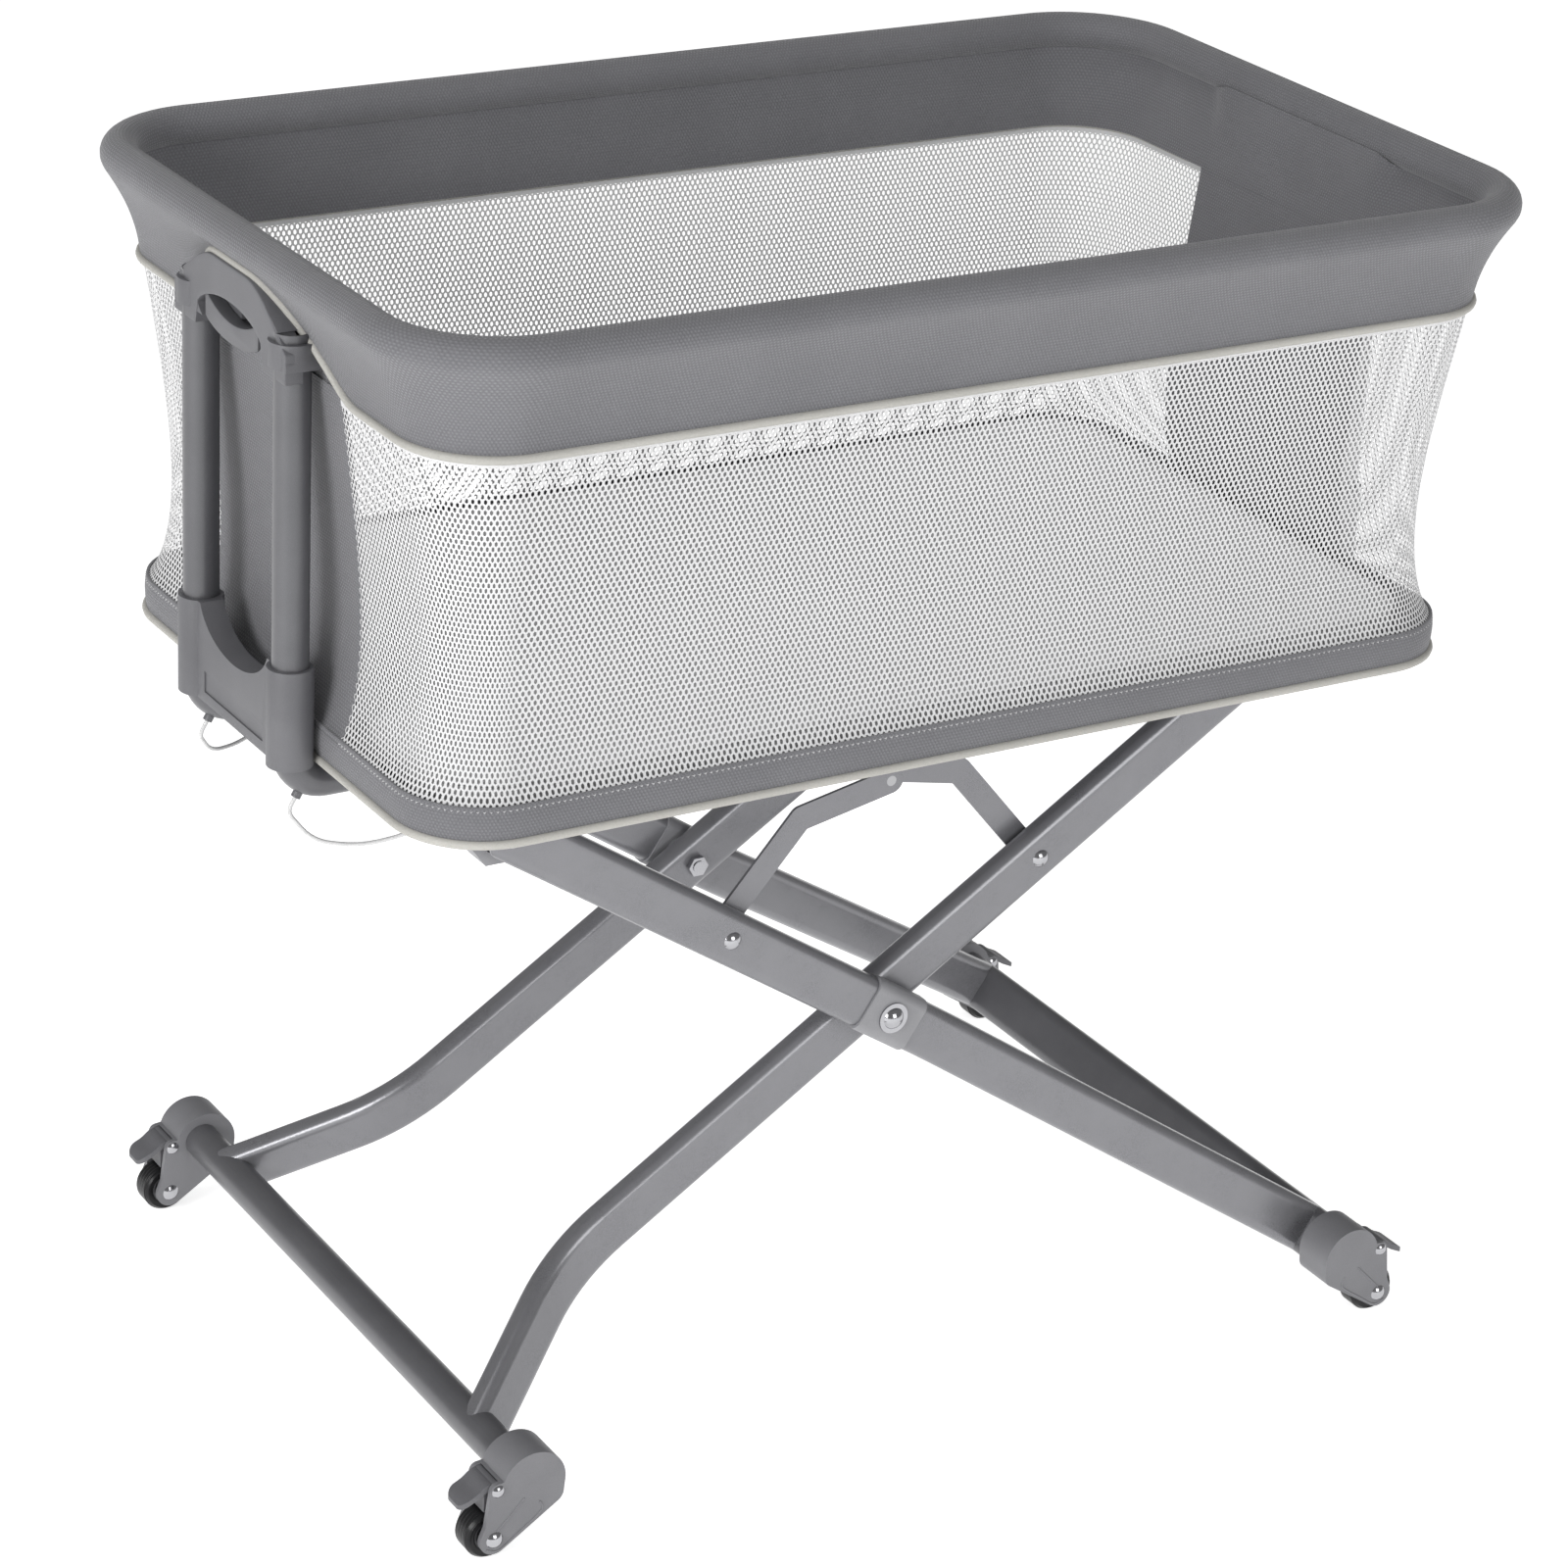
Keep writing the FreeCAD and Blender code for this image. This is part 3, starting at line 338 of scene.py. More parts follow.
def tyreRubber():
    finish = Finish("tyreRubber", Roughness=0.3)
    finish.shader.inputs["Specular IOR Level"].default_value = 0.22
    where = finish.place()
    across = finish.add("ShaderNodeSeparateXYZ", {}, [where], "Y").maths("ABSOLUTE")
    groove = (across * 1700.0).maths("SINE")
    dust = finish.noise(where, 60.0, 4.0)
    finish.feed("Base Color", finish.shades(dust, (0.006, 0.006, 0.007), (0.02, 0.02, 0.021)))
    finish.feed("Roughness", dust * 0.25 + 0.2)
    finish.relief(groove.clamped(-1.0, -0.4), 0.0006)
    return finish.material


def sheath():
    finish = Finish("cableSheath", Roughness=0.25)
    strand = finish.noise(finish.place(), 1200.0, 2.0)
    finish.feed("Base Color", finish.shades(strand, (0.45, 0.45, 0.45), (0.75, 0.75, 0.75)))
    finish.relief(strand, 0.0001)
    return finish.material


greyCloth = wovenGrey("greyCloth", (0.112, 0.112, 0.121), (0.186, 0.186, 0.198))
yarn = netYarn()
beige = tape()
padFabric = padCover()
finishes = {
    "steel": plated("zincSteel", (0.42, 0.42, 0.43), 0.24),
    "grey_fabric": greyCloth,
    "piping": beige,
    "net": yarn,
    "board": moulded("coveredBoard", (0.10, 0.10, 0.11), (0.16, 0.16, 0.17), 0.75, 700.0),
    "mattress_cover": padFabric,
    "dark_paint": lacquer("darkLacquer", (0.09, 0.09, 0.097), (0.12, 0.12, 0.128), 0.25, 0.4),
    "silver_paint": lacquer("silverLacquer", (0.18, 0.18, 0.192), (0.225, 0.225, 0.238), 0.45, 0.30),
    "dark_plastic": moulded("greyShell", (0.100, 0.100, 0.108), (0.130, 0.130, 0.139)),
    "light_plastic": moulded("paleShell", (0.22, 0.22, 0.232), (0.27, 0.27, 0.282), 0.42),
    "caster_plastic": moulded("casterShell", (0.15, 0.15, 0.16), (0.185, 0.185, 0.196), 0.45),
    "chrome": plated("chromePlate", (0.46, 0.46, 0.48), 0.06),
    "tyre": tyreRubber(),
    "cable": sheath(),
}
slotOf = {part["node"]: part["material_slot"] for part in frame["record"]["subparts"]}
bodyOf = {}
for bodyName, nodeNames in frame["record"]["behaviour"]["bodies"].items():
    for nodeName in nodeNames:
        bodyOf[nodeName] = bodyName
for nodeName, slotName in slotOf.items():
    node = frame["nodes"][nodeName]
    node.data.materials.clear()
    node.data.materials.append(finishes[slotName])
print("materials on", len(frame["nodes"]), "nodes")


# ---- rings that follow the basket's plan ----

def drawProfile(name, points, closed):
    # a plane closed down to one corner and drawn on by extrusion
    # points are (offset from the rim, height)
    deselectAll()
    bpy.ops.mesh.primitive_plane_add(size=0.002, location=(0, 0, 0))
    piece = bpy.context.object
    piece.name = name
    editMode()
    bpy.ops.mesh.select_mode(type="VERT")
    bpy.ops.mesh.select_all(action="SELECT")
    bpy.ops.mesh.merge(type="CENTER")
    bpy.ops.transform.translate(value=(halfLength + points[0][0], 0, points[0][1]))
    for before, after in zip(points, points[1:]):
        step = (after[0] - before[0], 0, after[1] - before[1])
        bpy.ops.mesh.extrude_region_move(TRANSFORM_OT_translate={"value": step})
    if closed:
        objectMode()
        for corner in piece.data.vertices:
            corner.select = corner.index in (0, len(points) - 1)
        editMode()
        bpy.ops.mesh.edge_face_add()
    bpy.ops.mesh.select_all(action="SELECT")
    return piece


def carryAlong(direction, length, steps):
    for _ in range(steps):
        value = [d * length / steps for d in direction]
        bpy.ops.mesh.extrude_region_move(TRANSFORM_OT_translate={"value": value})


def basketRing(name, points, closed=True):
    # the profile goes along half an end, round a corner and along half a side; the rest is mirrored
    piece = drawProfile(name, points, closed)
    carryAlong((0, 1, 0), straightY, plan["endSteps"] // 2)
    bpy.ops.mesh.spin(steps=plan["cornerSteps"], angle=-math.pi / 2,
                      center=(straightX, straightY, 0), axis=(0, 0, 1))
    carryAlong((-1, 0, 0), straightX, plan["straightSteps"])
    objectMode()
    applyModifier(piece, "MIRROR", use_axis=(True, True, False), merge_threshold=0.0001)
    outwards(piece)
    return piece


def ringOffset(places):
    # offset outside the rim's centreline, for points anywhere round the basket
    x = np.abs(places[:, 0]) - straightX
    y = np.abs(places[:, 1]) - straightY
    fromCorner = np.hypot(np.maximum(x, 0), np.maximum(y, 0))
    return np.where((x > 0) | (y > 0), fromCorner, np.maximum(x, y)) - plan["corner"]


def wayRound(places):
    # length along the cloth from the middle of a side, the same for all four quarters
    x = np.abs(places[:, 0])
    y = np.abs(places[:, 1])
    radius = plan["corner"] + skirtOffset
    angle = np.arctan2(np.maximum(x - straightX, 0), np.maximum(y - straightY, 1e-9))
    end = straightX + radius * math.pi / 2 + straightY - y
    side = np.where(x < straightX, x, straightX + radius * angle)
    return np.where(y < straightY, end, side)


def clothMap(piece, heightOf=None):
    # the cloth's own map in metres: along the basket, and up or round its profile
    places = coordinates(piece)
    along = wayRound(places)
    up = heightOf(places) if heightOf else places[:, 2]
    layer = piece.data.uv_layers.new(name="cloth")
    corners = np.empty(len(piece.data.loops), dtype=np.int32)
    piece.data.loops.foreach_get("vertex_index", corners)
    pairs = np.stack([along[corners], up[corners]], axis=1)
    layer.data.foreach_set("uv", pairs.astype(np.float32).ravel())


def pipeFrom(path, name, radius):
    # a mesh line becomes a round cord
    makeActive(path)
    bpy.ops.object.convert(target="CURVE")
    path.data.bevel_depth = radius
    path.data.bevel_resolution = 3
    bpy.ops.object.convert(target="MESH")
    path.name = name
    outwards(path)
    smooth(path, 80)
    return path


def eased(share):
    # 0 to 1 with a level start and finish
    return share * share * (3 - 2 * share)


# ---- padded rim cover ----

cover = {
    "roll": 0.0138,             # radius of the padded roll
    "leave": math.radians(-33),   # where the skirt leaves the roll outside
    "join": math.radians(-100),   # where its back meets the roll underneath
    "rollSteps": 22,
    "skirtSteps": 12,
    "thickness": 0.0028,
    "flare": 1.75,              # how quickly the skirt falls in below the roll
    "arch": 0.0622,             # rise of the hem over a fork
    "archTop": 0.026,           # half width of the arch's flat crown
    "archHalf": 0.140,
    "proud": 0.0012,            # how far the hem stands outside and above the piping's middle
    "step": 0.0004,             # the back of the skirt ends this much higher
    "tuck": 0.00035,            # height of the slight puckers along the hem
    "longWave": 0.034,
    "shortWave": 0.021,
    "waveShift": 1.3,
    "cornerTuck": 1.6,          # puckers at the corners and along the sides
    "sideTuck": 0.7,
}
skirtTop = rimHeight + cover["roll"] * math.sin(cover["leave"])
skirtTopOffset = cover["roll"] * math.cos(cover["leave"])
hemHeight = skirtFoot + cover["proud"]


def skirtOut(height):
    # offset of the skirt's face at a height
    left = np.clip((height - hemHeight) / (skirtTop - hemHeight), 0, 1)
    spread = skirtTopOffset - skirtOffset - cover["proud"]
    return skirtOffset + cover["proud"] + spread * left ** cover["flare"]


def hemAt(y):
    # the hem's height at an end: it arches over the fork
    slope = cover["archHalf"] - cover["archTop"]
    away = np.clip((np.abs(y) - cover["archTop"]) / slope, 0, 1)
    return hemHeight + cover["arch"] * (1 - eased(away))


def coverProfile():
    # down the skirt, up its back, and round the roll
    points = []
    for step in range(cover["skirtSteps"] + 1):
        height = skirtTop - (skirtTop - hemHeight) * step / cover["skirtSteps"]
        points.append((float(skirtOut(height)), height))
    inside = [points[step] for step in range(cover["skirtSteps"], 1, -2)]
    points += [(d - cover["thickness"], z + cover["step"]) for d, z in inside]
    sweep = 2 * math.pi - (cover["leave"] - cover["join"])
    for step in range(cover["rollSteps"]):
        angle = cover["join"] - sweep * step / cover["rollSteps"]
        height = rimHeight + cover["roll"] * math.sin(angle)
        points.append((cover["roll"] * math.cos(angle), height))
    return points


def onRoll(places):
    fromRim = np.hypot(ringOffset(places), places[:, 2] - rimHeight)
    return fromRim < cover["roll"] + cover["step"]


def archOver(piece):
    # below the roll, the cloth at both ends is drawn up over the forks
    places = coordinates(piece)
    height = places[:, 2]
    end = (np.abs(places[:, 0]) > straightX) & (np.abs(places[:, 1]) < cover["archHalf"])
    at = end & ~onRoll(places)
    share = (skirtTop - height) / (skirtTop - hemHeight)
    behind = ringOffset(places) - skirtOut(height)
    raised = skirtTop - share * (skirtTop - hemAt(places[:, 1]))
    offset = skirtOut(raised) + behind
    places[at, 2] = raised[at]
    places[at, 0] = (np.sign(places[:, 0]) * (halfLength + offset))[at]
    moveVertices(piece, places)


def hemLine(piece):
    # the skirt's lowest outside edges, copied as a line of their own
    places = coordinates(piece)
    lowest = np.abs(places[:, 2] - hemHeight) < 0.0001
    outside = np.abs(ringOffset(places) - skirtOut(hemHeight)) < 0.0003
    hem = lowest & outside
    makeActive(piece)
    editMode()
    bpy.ops.mesh.select_mode(type="EDGE")
    bpy.ops.mesh.select_all(action="DESELECT")
    objectMode()
    for edge in piece.data.edges:
        edge.select = bool(hem[edge.vertices[0]] and hem[edge.vertices[1]])
    editMode()
    bpy.ops.mesh.duplicate()
    bpy.ops.mesh.separate(type="SELECTED")
    objectMode()
    line = [o for o in bpy.context.selected_objects if o != piece][0]
    makeActive(line)
    return line


def pucker(piece):
    # slight gathers that fade upwards from the hem, deeper round the corners than along the sides
    places = coordinates(piece)
    low = np.clip((skirtTop - places[:, 2]) / (skirtTop - hemHeight), 0, 1)
    low[onRoll(places)] = 0
    low *= 1 - low ** 8
    atCorner = (np.abs(places[:, 0]) > straightX) & (np.abs(places[:, 1]) > straightY)
    turns = wayRound(places) * 2 * math.pi
    wave = np.sin(turns / cover["longWave"]) * 0.5
    wave += np.sin(turns / cover["shortWave"] + cover["waveShift"]) * 0.5
    depth = cover["tuck"] * wave * low * np.where(atCorner, cover["cornerTuck"], cover["sideTuck"])
    centre = np.stack([np.clip(places[:, 0], -straightX, straightX),
                       np.clip(places[:, 1], -straightY, straightY)], axis=1)
    away = places[:, :2] - centre
    away /= np.maximum(np.linalg.norm(away, axis=1), 1e-9)[:, None]
    places[:, :2] += away * depth[:, None]
    moveVertices(piece, places)


def rollHeight(places):
    # cloth height for the weave: straight down the skirt, then round the roll
    offset = ringOffset(places)
    angle = np.arctan2(places[:, 2] - rimHeight, offset)
    angle = np.where(angle < cover["leave"] - 0.02, angle + 2 * math.pi, angle)
    wrapped = cover["roll"] * angle
    return np.where(onRoll(places), wrapped, places[:, 2] - rimHeight)


def makeRimCover():
    piece = basketRing("rimCover", coverProfile())
    line = hemLine(piece)
    pucker(piece)
    clothMap(piece, rollHeight)
    archOver(piece)
    archOver(line)
    smooth(piece, 75)
    dress(piece, greyCloth, "basket")
    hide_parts("rim_cover")
    upper = pipeFrom(line, "upperPiping", pipingRadius)
    dress(upper, beige, "basket")
    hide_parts("rim_piping")


makeRimCover()
print("rim cover and upper piping")

lining = {
    "inset": 0.0042,
    "thickness": 0.0012,
    "drop": 0.0128,             # how far under the rim's centreline it starts
    "reach": 0.001,             # how far outside that line it may come
    "steps": 8,
    "behindFork": 0.0012,
    "forkHalf": 0.092,
    "ease": 0.035,
    "tuck": 0.0129,             # over a fork its upper edge is drawn in and up to the roll
    "rise": 0.0078,
}


def makeLining():
    # the skirt's inside layer, straight round, drawn in behind the forks
    top = rimHeight - lining["drop"]
    outside = []
    for step in range(lining["steps"] + 1):
        height = top - (top - hemHeight) * step / lining["steps"]
        outside.append((min(float(skirtOut(height)), lining["reach"]) - lining["inset"], height))
    inside = [(d - lining["thickness"], z) for d, z in reversed(outside)]
    piece = basketRing("skirtLining", outside + inside)
    places = coordinates(piece)
    out = np.abs(places[:, 0])
    away = eased(np.clip((np.abs(places[:, 1]) - lining["forkHalf"]) / lining["ease"], 0, 1))
    face = np.minimum(skirtOut(places[:, 2]), lining["reach"]) - lining["inset"]
    isBack = ringOffset(places) < face - lining["thickness"] / 2
    depth = np.where(isBack, lining["thickness"], 0)
    backX = halfLength + skirtOffset - lining["behindFork"]
    atEnd = out > straightX + plan["corner"] / 2
    reach = np.minimum(out, backX - depth) * (1 - away) + out * away
    places[atEnd, 0] = (np.sign(places[:, 0]) * reach)[atEnd]
    highest = atEnd & (away < 1) & (places[:, 2] > top - 0.001)
    tucked = (halfLength - lining["tuck"] - depth) * (1 - away) + np.abs(places[:, 0]) * away
    places[highest, 0] = (np.sign(places[:, 0]) * tucked)[highest]
    places[highest, 2] += (lining["rise"] * (1 - away))[highest]
    moveVertices(piece, places)
    clothMap(piece)
    smooth(piece, 60)
    dress(piece, greyCloth, "basket")


makeLining()

band = {
    "thickness": 0.0018,
    "bulge": 0.0012,
    "steps": 6,
}


def makeLowerBand():
    # the grey strip at the foot of the walls, slightly full
    low = bandLow.z
    high = bandHigh.z
    outside = []
    for step in range(band["steps"] + 1):
        share = step / band["steps"]
        full = band["bulge"] * math.sin(share * math.pi)
        outside.append((footOffset + full, low + (high - low) * share))
    inside = [(d - band["thickness"], z) for d, z in reversed(outside)]
    piece = basketRing("lowerBand", outside + inside)
    clothMap(piece)
    smooth(piece, 60)
    dress(piece, greyCloth, "basket")
    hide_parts("lower_band")


def makeFootPiping():
    line = basketRing("footPiping", [(footOffset, footPipingHeight)], closed=False)
    piece = pipeFrom(line, "footPiping", pipingRadius)
    dress(piece, beige, "basket")
    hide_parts("base_piping")


makeLowerBand()
makeFootPiping()
print("lining, band and foot piping")

# ---- net walls and end panels ----

walls = {
    "top": skirtFoot - 0.0006,
    "foot": bandHigh.z - 0.0032,
    "lap": 0.0016,              # how far the net stands outside the band it is sewn to
    "waist": 0.0165,            # how far the walls pull in
    "waistPlace": 0.62,         # under 1 puts the waist below the middle
    "cornerPull": 0.005,
    "cornerEase": 0.05,
    "underPiping": 0.0008,      # how far the top edge lies inside the piping's line
}
wallRadius = plan["corner"] + skirtOffset
cornerRun = wallRadius * math.pi / 2
endCentre = straightX + cornerRun + straightY
halfRun = endCentre - panelHalfWidth


def wallOffset(height, along):
    share = np.clip((height - walls["foot"]) / (walls["top"] - walls["foot"]), 0, 1)
    foot = footOffset + walls["lap"]
    edge = foot + (skirtOffset - walls["underPiping"] - foot) * share
    bow = np.sin(math.pi * share ** walls["waistPlace"])
    fromCorner = np.abs(along) - straightX - cornerRun / 2
    corner = np.exp(-(fromCorner / walls["cornerEase"]) ** 2)
    return edge - (walls["waist"] + walls["cornerPull"] * corner) * bow


def layOnWall(piece):
    # a flat piece, drawn as (along from the middle of the front, depth, height), goes onto the wall
    flat = coordinates(piece)
    along = flat[:, 0]
    height = flat[:, 2]
    reach = np.abs(along)
    offset = wallOffset(height, along) - flat[:, 1]
    radius = plan["corner"] + offset
    angle = np.clip((reach - straightX) / wallRadius, 0, math.pi / 2)
    beyond = np.maximum(reach - straightX - cornerRun, 0)
    x = np.minimum(reach, straightX) + radius * np.sin(angle)
    y = -straightY - radius * np.cos(angle) + beyond
    places = np.stack([np.sign(along + 1e-12) * x, y, height], axis=1)
    moveVertices(piece, places)


net = {
    "pitch": 0.0045,
    "holeWide": 0.50,           # share of the cell that is open, across and up
    "holeHigh": 0.74,
    "rim": 0.0002,              # first inset that starts an opening
    "hem": 0.0100,
    "hemRise": 0.0012,          # middle of the hem above the net's upper edge
    "hemProud": 0.0004,
    "hemSteps": (220, 3),
}
rowRise = net["pitch"] * math.cos(math.pi / 6)


def netCell(name):
    # one six-sided mesh of the net with its opening, and the one staggered above it
    side = net["pitch"] / 2 / math.cos(math.pi / 6)
    deselectAll()
    bpy.ops.mesh.primitive_circle_add(vertices=6, radius=side, fill_type="NGON",
                                      location=(0, 0, 0), rotation=(math.pi / 2, 0, 0))
    cell = bpy.context.object
    cell.name = name
    settle(cell)
    editMode()
    bpy.ops.mesh.select_mode(type="FACE")
    bpy.ops.mesh.select_all(action="SELECT")
    bpy.ops.mesh.inset(thickness=net["rim"])
    share = 1 - net["rim"] / (net["pitch"] / 2)
    bpy.ops.transform.resize(value=(net["holeWide"] / share, 1, net["holeHigh"] / share))
    bpy.ops.mesh.delete(type="FACE")
    bpy.ops.mesh.select_all(action="SELECT")
    stagger = (net["pitch"] / 2, 0, rowRise)
    bpy.ops.mesh.duplicate_move(TRANSFORM_OT_translate={"value": stagger})
    objectMode()
    return cell


def repeat(piece, count, step):
    applyModifier(piece, "ARRAY", count=count, use_relative_offset=False,
                  use_constant_offset=True, constant_offset_displace=step)


def makeNet(name, node, back):
    # rows of meshes for one long side, laid on the wall from one end panel to the other
    columns = int(2 * halfRun / net["pitch"])
    rows = int((walls["top"] - walls["foot"]) / rowRise)
    piece = netCell(name)
    repeat(piece, columns, (net["pitch"], 0, 0))
    repeat(piece, (rows + 1) // 2, (0, 0, 2 * rowRise))
    makeActive(piece)
    editMode()
    bpy.ops.mesh.select_all(action="SELECT")
    bpy.ops.mesh.remove_doubles(threshold=0.00005)
    objectMode()
    flat = coordinates(piece)
    low = flat.min(axis=0)
    size = flat.max(axis=0) - low
    tall = walls["top"] - walls["foot"]
    flat[:, 0] = (flat[:, 0] - low[0]) / size[0] * 2 * halfRun - halfRun
    flat[:, 2] = walls["foot"] + (flat[:, 2] - low[2]) / size[2] * tall
    moveVertices(piece, flat)
    layOnWall(piece)
    if back:
        toOtherSide(piece, 1)
    turnOut(piece)
    smooth(piece, 60)
    dress(piece, yarn, "basket")
    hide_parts(node)
    2 * halfRun
    print(name, columns, "by", rows, "meshes")


def turnOut(piece):
    # an open sheet's faces look away from the basket's middle
    first = piece.data.polygons[len(piece.data.polygons) // 2]
    middle = Vector((first.center.x, first.center.y, 0))
    if first.normal.dot(middle) < 0:
        flipFaces(piece)


def standingGrid(name, steps):
    deselectAll()
    bpy.ops.mesh.primitive_grid_add(x_subdivisions=steps[0], y_subdivisions=steps[1], size=1,
                                    location=(0, 0, 0), rotation=(math.pi / 2, 0, 0))
    piece = bpy.context.object
    piece.name = name
    return piece


def makeHem(name, back):
    # the net's closely knitted edge
    piece = standingGrid(name, net["hemSteps"])
    piece.scale = (2 * halfRun, net["hem"], 1)
    piece.location = (0, -net["hemProud"], walls["top"] + net["hemRise"])
    settle(piece)
    layOnWall(piece)
    if back:
        toOtherSide(piece, 1)
    turnOut(piece)
    smooth(piece, 60)
    dress(piece, yarn, "basket")
    2 * halfRun


panel = {
    "thickness": 0.0022,
    "steps": (44, 40),
    "lap": 0.004,               # how far it goes under the band, the piping and the nets
    "behindNet": 0.0006,
    "crease": 0.0010,
    "creasePitch": 52.0,
}


def makePanel(name, side):
    # solid grey cloth at one short end
    piece = standingGrid(name, panel["steps"])
    low = bandHigh.z - panel["lap"]
    high = skirtFoot + panel["lap"]
    wide = 2 * panelHalfWidth + panel["lap"]
    piece.scale = (wide, high - low, 1)
    piece.location = (endCentre, panel["behindNet"], (high + low) / 2)
    settle(piece)
    flat = coordinates(piece)
    wave = np.sin((flat[:, 0] - endCentre) * panel["creasePitch"])
    flat[:, 1] += panel["crease"] * wave * np.sin((flat[:, 2] - low) / (high - low) * math.pi)
    moveVertices(piece, flat)
    layOnWall(piece)
    if side < 0:
        toOtherSide(piece, 0)
    turnOut(piece)
    applyModifier(piece, "SOLIDIFY", thickness=panel["thickness"], offset=-1)
    clothMap(piece)
    smooth(piece, 60)
    dress(piece, greyCloth, "basket")
    return piece


makeNet("netFront", "net_front", False)
makeNet("netBack", "net_back", True)
makeHem("netHemFront", False)
makeHem("netHemBack", True)
leftPanel = makePanel("endPanelLeft", -1)
makePanel("endPanelRight", 1)
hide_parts("end_panels")
print("walls and end panels")

# ---- mattress ----

pad = {
    "shrink": 0.006,            # the pad swells back by about this much
    "sideGap": 0.001,
    "corner": 0.055,
    "cornerSteps": 10,
    "edge": 0.010,
    "turns": 4,
    "voxel": 0.006,
    "pressure": 4.0,
    "cap": 0.007,
    "frames": 20,
    "fill": 0.75,
    "seam": 0.0016,
    "seamStart": 0.02,          # the seam's line starts this far outside the pad
    "seams": {"padSeamUpper": 0.74, "padSeamLower": 0.26},
}


def padBlank():
    # a slab with round corners, its upper and lower edges turned over in narrow insets
    centre = (padLow + padHigh) / 2
    size = padHigh - padLow
    turn = pad["edge"]
    deselectAll()
    bpy.ops.mesh.primitive_cube_add(size=1, location=centre)
    piece = bpy.context.object
    piece.name = "mattressPad"
    across = 2 * pad["sideGap"]
    piece.scale = (size.x - across, size.y - across, size.z - 2 * pad["shrink"] - 2 * turn)
    settle(piece)
    makeActive(piece)
    editMode()
    bpy.ops.mesh.select_mode(type="EDGE")
    bpy.ops.mesh.select_all(action="DESELECT")
    objectMode()
    for edge in piece.data.edges:
        ends = [piece.data.vertices[i].co for i in edge.vertices]
        edge.select = abs(ends[0].z - ends[1].z) > size.z / 20
    editMode()
    bpy.ops.mesh.bevel(offset=pad["corner"], segments=pad["cornerSteps"], affect="EDGES")
    bpy.ops.mesh.select_mode(type="FACE")
    for side in (-1, 1):
        bpy.ops.mesh.select_all(action="DESELECT")
        objectMode()
        for face in piece.data.polygons:
            face.select = face.normal.z * side > 0.99
        editMode()
        for step in range(pad["turns"]):
            angles = [math.pi / 2 * (step + more) / pad["turns"] for more in (0, 1)]
            inward = turn * (math.cos(angles[0]) - math.cos(angles[1]))
            outward = turn * (math.sin(angles[1]) - math.sin(angles[0]))
            bpy.ops.mesh.inset(thickness=inward, depth=0, use_even_offset=True)
            bpy.ops.transform.translate(value=(0, 0, side * outward))
    objectMode()
    return piece


def inflate(piece):
    # cloth under a little pressure, with no gravity, and no point going further than the cap
    makeActive(piece)
    start = coordinates(piece)
    modifier = piece.modifiers.new("Cloth", "CLOTH")
    modifier.settings.use_pressure = True
    modifier.settings.uniform_pressure_force = pad["pressure"]
    modifier.settings.effector_weights.gravity = 0
    modifier.settings.quality = 4
    modifier.point_cache.frame_end = pad["frames"]
    for step in range(1, pad["frames"] + 1):
        bpy.context.scene.frame_set(step)
    bpy.ops.object.modifier_apply(modifier=modifier.name)
    bpy.context.scene.frame_set(1)
    moved = coordinates(piece) - start
    far = np.linalg.norm(moved, axis=1)
    moved *= np.minimum(1, pad["cap"] / np.maximum(far, 1e-9))[:, None]
    moveVertices(piece, start + moved)


def makeMattress():
    piece = padBlank()
    applyModifier(piece, "REMESH", mode="VOXEL", voxel_size=pad["voxel"])
    inflate(piece)
    places = coordinates(piece)
    places[:, 2] = np.maximum(places[:, 2], padLow.z)    # flat where it lies on the board
    moveVertices(piece, places)
    applyModifier(piece, "SUBSURF", levels=1, render_levels=1)
    smooth(piece, 80)
    dress(piece, padFabric, "mattress")
    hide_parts("mattress")
    return piece


def makePadSeam(name, body, height):
    # a sewn cord round the pad, drawn onto its side
    start = padHigh.x - halfLength + pad["seamStart"]
    line = basketRing(name, [(start, height)], closed=False)
    applyModifier(line, "SHRINKWRAP", target=body, wrap_method="NEAREST_SURFACEPOINT")
    places = coordinates(line)
    places[:, 2] = height
    moveVertices(line, places)
    piece = pipeFrom(line, name, pad["seam"])
    dress(piece, padFabric, "mattress")


mattressPad = makeMattress()
for seamName, seamShare in pad["seams"].items():
    makePadSeam(seamName, mattressPad, padLow.z + (padHigh.z - padLow.z) * seamShare)
print("mattress")

# ---- moulded and metal pieces with softened edges ----

softened = {
    "post_fork_left": 0.0016,
    "post_fork_right": 0.0016,
    "end_housing_left": 0.0018,
    "end_housing_right": 0.0018,
    "button_left": 0.0010,
    "button_right": 0.0010,
}


def softenEdges(nodeName, width):
    # a copy of the piece, merged, with its hard edges rounded
    source = frame["nodes"][nodeName]
    piece = source.copy()
    piece.data = source.data.copy()
    for key in [key for key in piece.keys() if key.startswith("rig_")]:
        del piece[key]
    piece.parent = None
    piece.matrix_world = Matrix.Identity(4)
    piece.name = nodeName.replace("_", "") + "Shell"
    bpy.context.scene.collection.objects.link(piece)
    makeActive(piece)
    editMode()
    bpy.ops.mesh.select_all(action="SELECT")
    bpy.ops.mesh.remove_doubles(threshold=0.00001)
    bpy.ops.mesh.dissolve_limited(angle_limit=math.radians(1.0))
    objectMode()
    applyModifier(piece, "BEVEL", width=width, segments=3, limit_method="ANGLE",
                  angle_limit=math.radians(38), harden_normals=False)
    smooth(piece, 35)
    slotName = slotOf[nodeName]
    dress(piece, finishes[slotName], bodyOf[nodeName])
    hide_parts(nodeName)


for nodeName, width in softened.items():
    softenEdges(nodeName, width)
print("softened", len(softened), "pieces")

# ---- the forks' faces, up to the piping ----

